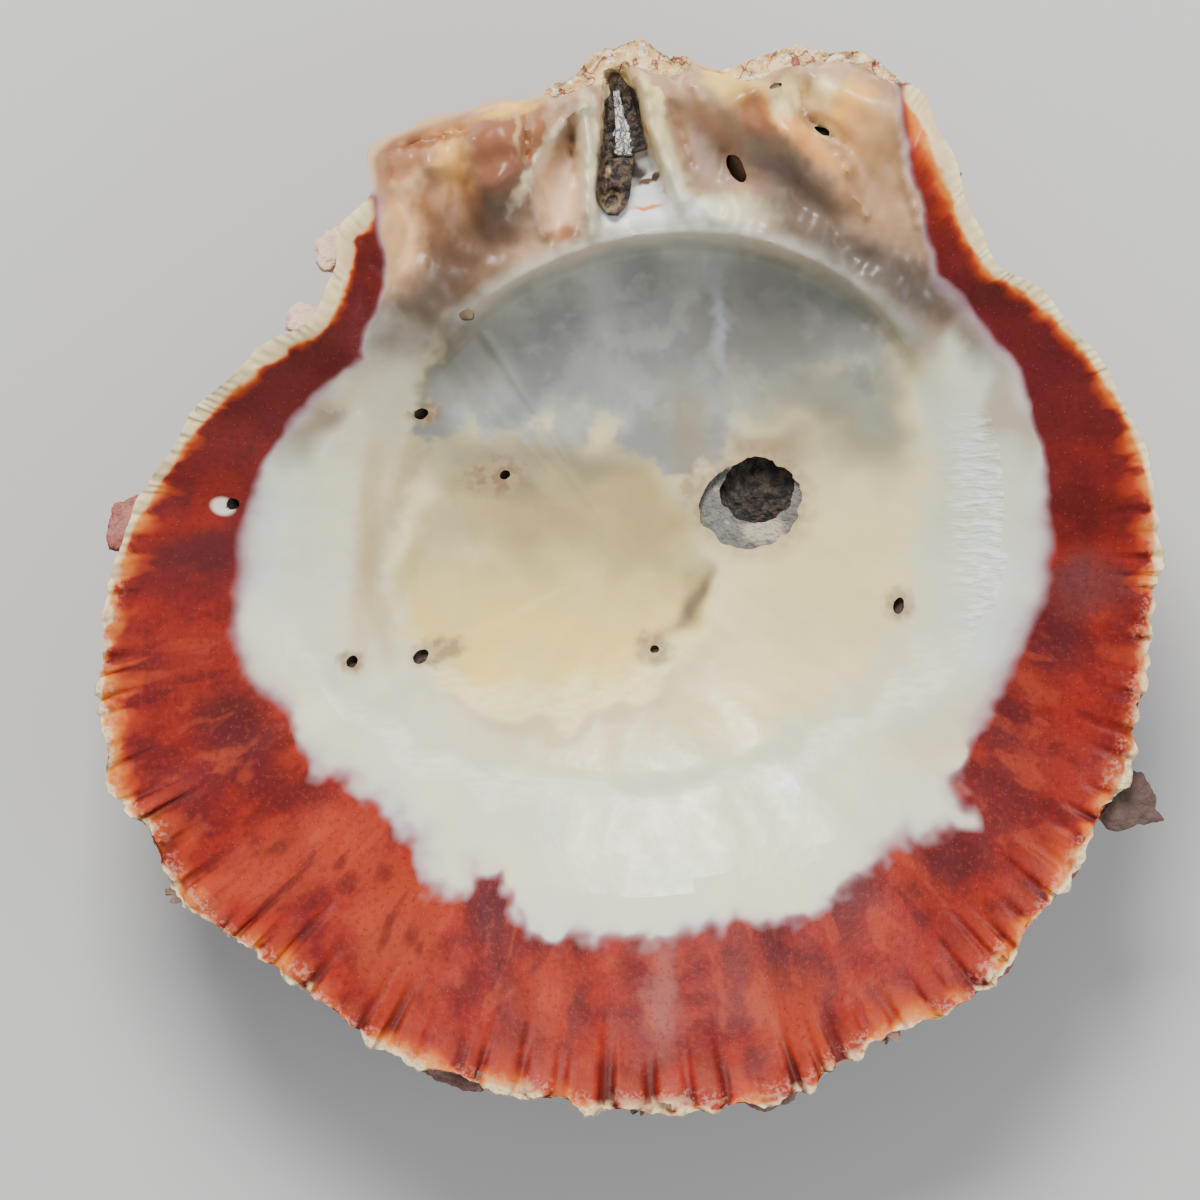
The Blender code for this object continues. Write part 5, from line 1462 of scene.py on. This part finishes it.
strip = bmesh.new()
bmesh.ops.create_cube(strip, size=1.0)
for axis, cuts in ((1, 110), (0, 35), (2, 4)):
    along_axis = [e for e in strip.edges if abs(e.verts[0].co[axis] - e.verts[1].co[axis]) > 0.5]
    bmesh.ops.subdivide_edges(strip, edges=along_axis, cuts=cuts, use_grid_fill=True)
for vertex in strip.verts:
    y = between((LIGAMENT_LINE[-1], LIGAMENT_LINE[0]), vertex.co.y + 0.5)
    share, up = vertex.co.x + 0.5, vertex.co.z + 0.5
    left, right = (np.interp(-y, -np.array(LIGAMENT_LINE), edge) for edge in (LEFT_EDGE, RIGHT_EDGE))
    x = between((left, right), share) + 0.18 * noise.noise(Vector((share, y * 0.9, 0.0)))
    floor = float(inner_height(np.array((x, y)), RIM[0])) + 0.1
    core_left, core_right = (
        np.interp(-y, [-p[0] for p in side], [p[1] for p in side]) for side in (CORE_LEFT, CORE_RIGHT)
    )
    core = smooth(-0.15, 0.15, x - core_left) * smooth(-0.15, 0.15, core_right - x)
    core *= smooth(59.4, 59.7, y) * (1.0 - smooth(68.2, 69.2, y))
    plate = smooth(-3.5, -3.2, x) * smooth(54.8, 55.1, y) * (1.0 - smooth(59.1, 59.5, y))
    hollow = math.exp(-(((x + 2.6) / 0.9) ** 2) - ((y - 54.0) / 0.9) ** 2)
    crack_place = between((core_left, core_right), 0.55) + 0.15 * math.sin(2.2 * y)
    crack = math.exp(-(((x - crack_place) / 0.1) ** 2))
    edges = min(share, 1.0 - share, 0.3) / 0.3
    height = 1.1 + 0.5 * edges**0.5 + 1.0 * core + 0.7 * plate - 0.9 * hollow - 0.8 * crack * core
    height += 0.35 * lively((x, y, 0.0), 1.6, 5.0) + 0.12 * lively((x * 3.0, y, 4.0), 1.2, 2.0)
    vertex.co = Vector((x, y, floor + up * max(LEAST_THICKNESS, height))) * MM

paint = Paint("Ligament_dried_black")
fibres = paint.noise(0.5, 3.0, rough=0.6)
colour = paint.patches((0.020, 0.015, 0.013), (0.060, 0.034, 0.020), 1.6, 0.42, 0.62, seed=2.0)
lower = paint.steps(paint.plus(paint.y, paint.steps(paint.x, -4.2, -2.6, -8.0, 0.0)), 59.8, 59.2)
brown = paint.patches((0.026, 0.018, 0.014), (0.12, 0.078, 0.050), 1.1, 0.42, 0.60, seed=3.0)
colour = paint.mix(paint.times(lower, 0.9), colour, brown)
colour = paint.mix(paint.spot(-3.2, 57.4, 0.5, 0.9, 0.0, 0.4, paint.fine), colour, (0.48, 0.30, 0.18))
# Near black in the hollow near the lower end: painted shade.
colour = paint.mix(paint.spot(-2.6, 54.2, 0.9, 0.7, 0.0, 0.4, paint.fine), colour, (0.012, 0.010, 0.009))
ring = paint.away(-2.8, 53.2, 1.3, 1.5, 0.0, paint.fine)
ring = paint.times(paint.steps(ring, 0.6, 0.8), paint.steps(ring, 0.9, 1.1, 0.8, 0.0))
colour = paint.mix(ring, colour, (0.26, 0.19, 0.085))
core_middle = paint.plus(paint.times(paint.y, -0.135), 7.15)
core_half = paint.steps(paint.y, 59.6, 68.6, 1.3, 0.5)
across_core = paint.sum("DIVIDE", paint.sum("SUBTRACT", paint.x, core_middle), core_half)
uneven = paint.uneven(-0.25, 0.25, 0.9, 0.3, 0.7, seed=4.0, detail=2.0)
core = paint.times(
    paint.steps(paint.sum("ABSOLUTE", paint.plus(across_core, uneven)), 0.85, 1.05, 1.0, 0.0),
    paint.steps(paint.y, 59.5, 59.8),
    paint.steps(paint.y, 68.9, 68.3),
)
cracks = add_node(
    paint.tree, "TexVoronoi", {"Vector": paint.fine, "Scale": 0.62}, feature="DISTANCE_TO_EDGE"
).outputs[0]
chalky = paint.patches((0.50, 0.51, 0.49), (0.88, 0.88, 0.82), 0.8, 0.38, 0.60, seed=5.0)
chalky = paint.mix(paint.steps(cracks, 0.0, 0.07, 0.9, 0.0), chalky, (0.05, 0.045, 0.04))
colour = paint.mix(core, colour, chalky)
heights = paint.plus(paint.times(fibres, 0.3), paint.times(paint.steps(cracks, 0.0, 0.12), core, 0.2))
gloss = paint.uneven(0.35, 0.65, 1.5, 0.3, 0.7, seed=7.0)
ligament = as_object("ligament", strip, paint.finish(colour, gloss, heights, 0.4))
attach(ligament, "root")
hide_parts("ligament")

# ---- Floor, light and camera -------------------------------------------------------------------
# A plain pale floor under a pale sky, with a soft lamp beyond the hinge and a weaker one at the
# right. The camera looks straight down on the bowl.

ground = bmesh.new()
bmesh.ops.create_grid(ground, x_segments=1, y_segments=1, size=2.0)
pale = bpy.data.materials.new("Floor_pale")
pale.use_nodes = True
surface = pale.node_tree.nodes["Principled BSDF"]
feed(pale.node_tree, surface, {"Base Color": (0.60, 0.60, 0.59, 1.0), "Roughness": 0.8})
floor = as_object("floor", ground, pale)

world = bpy.data.worlds.new("soft_studio")
world.use_nodes = True
sky = world.node_tree.nodes["Background"]
feed(world.node_tree, sky, {"Color": (0.93, 0.96, 1.0, 1.0), "Strength": 0.5})
bpy.context.scene.world = world
LIT_PLACE = Vector((0.0, 0.0, 0.02))


def add_light(name, place, size, power, colour):
    """Adds a soft light that shines on the shell."""
    lamp = bpy.data.lights.new(name, "AREA")
    lamp.shape = "RECTANGLE"
    lamp.size, lamp.size_y = size
    lamp.energy = power
    lamp.color = colour
    light = bpy.data.objects.new(name, lamp)
    light.location = place
    light.rotation_euler = (LIT_PLACE - Vector(place)).to_track_quat("-Z", "Y").to_euler()
    bpy.context.scene.collection.objects.link(light)


add_light("key", (-0.13, 0.68, 0.84), (0.45, 0.35), 17.0, (1.0, 0.98, 0.95))
add_light("fill", (0.7, -0.3, 0.6), (0.6, 0.6), 3.0, (0.95, 0.97, 1.0))

# The camera hangs this many metres above the margin, and sees this width there
ABOVE_MARGIN, SEEN_WIDTH, SENSOR_WIDTH = 0.8, 0.169, 36.0
camera = bpy.data.objects.new("camera", bpy.data.cameras.new("camera"))
camera.location = (-0.0044, -0.0034, 0.838)
camera.data.sensor_width = SENSOR_WIDTH
camera.data.lens = SENSOR_WIDTH * ABOVE_MARGIN / SEEN_WIDTH
bpy.context.scene.collection.objects.link(camera)
bpy.context.scene.camera = camera
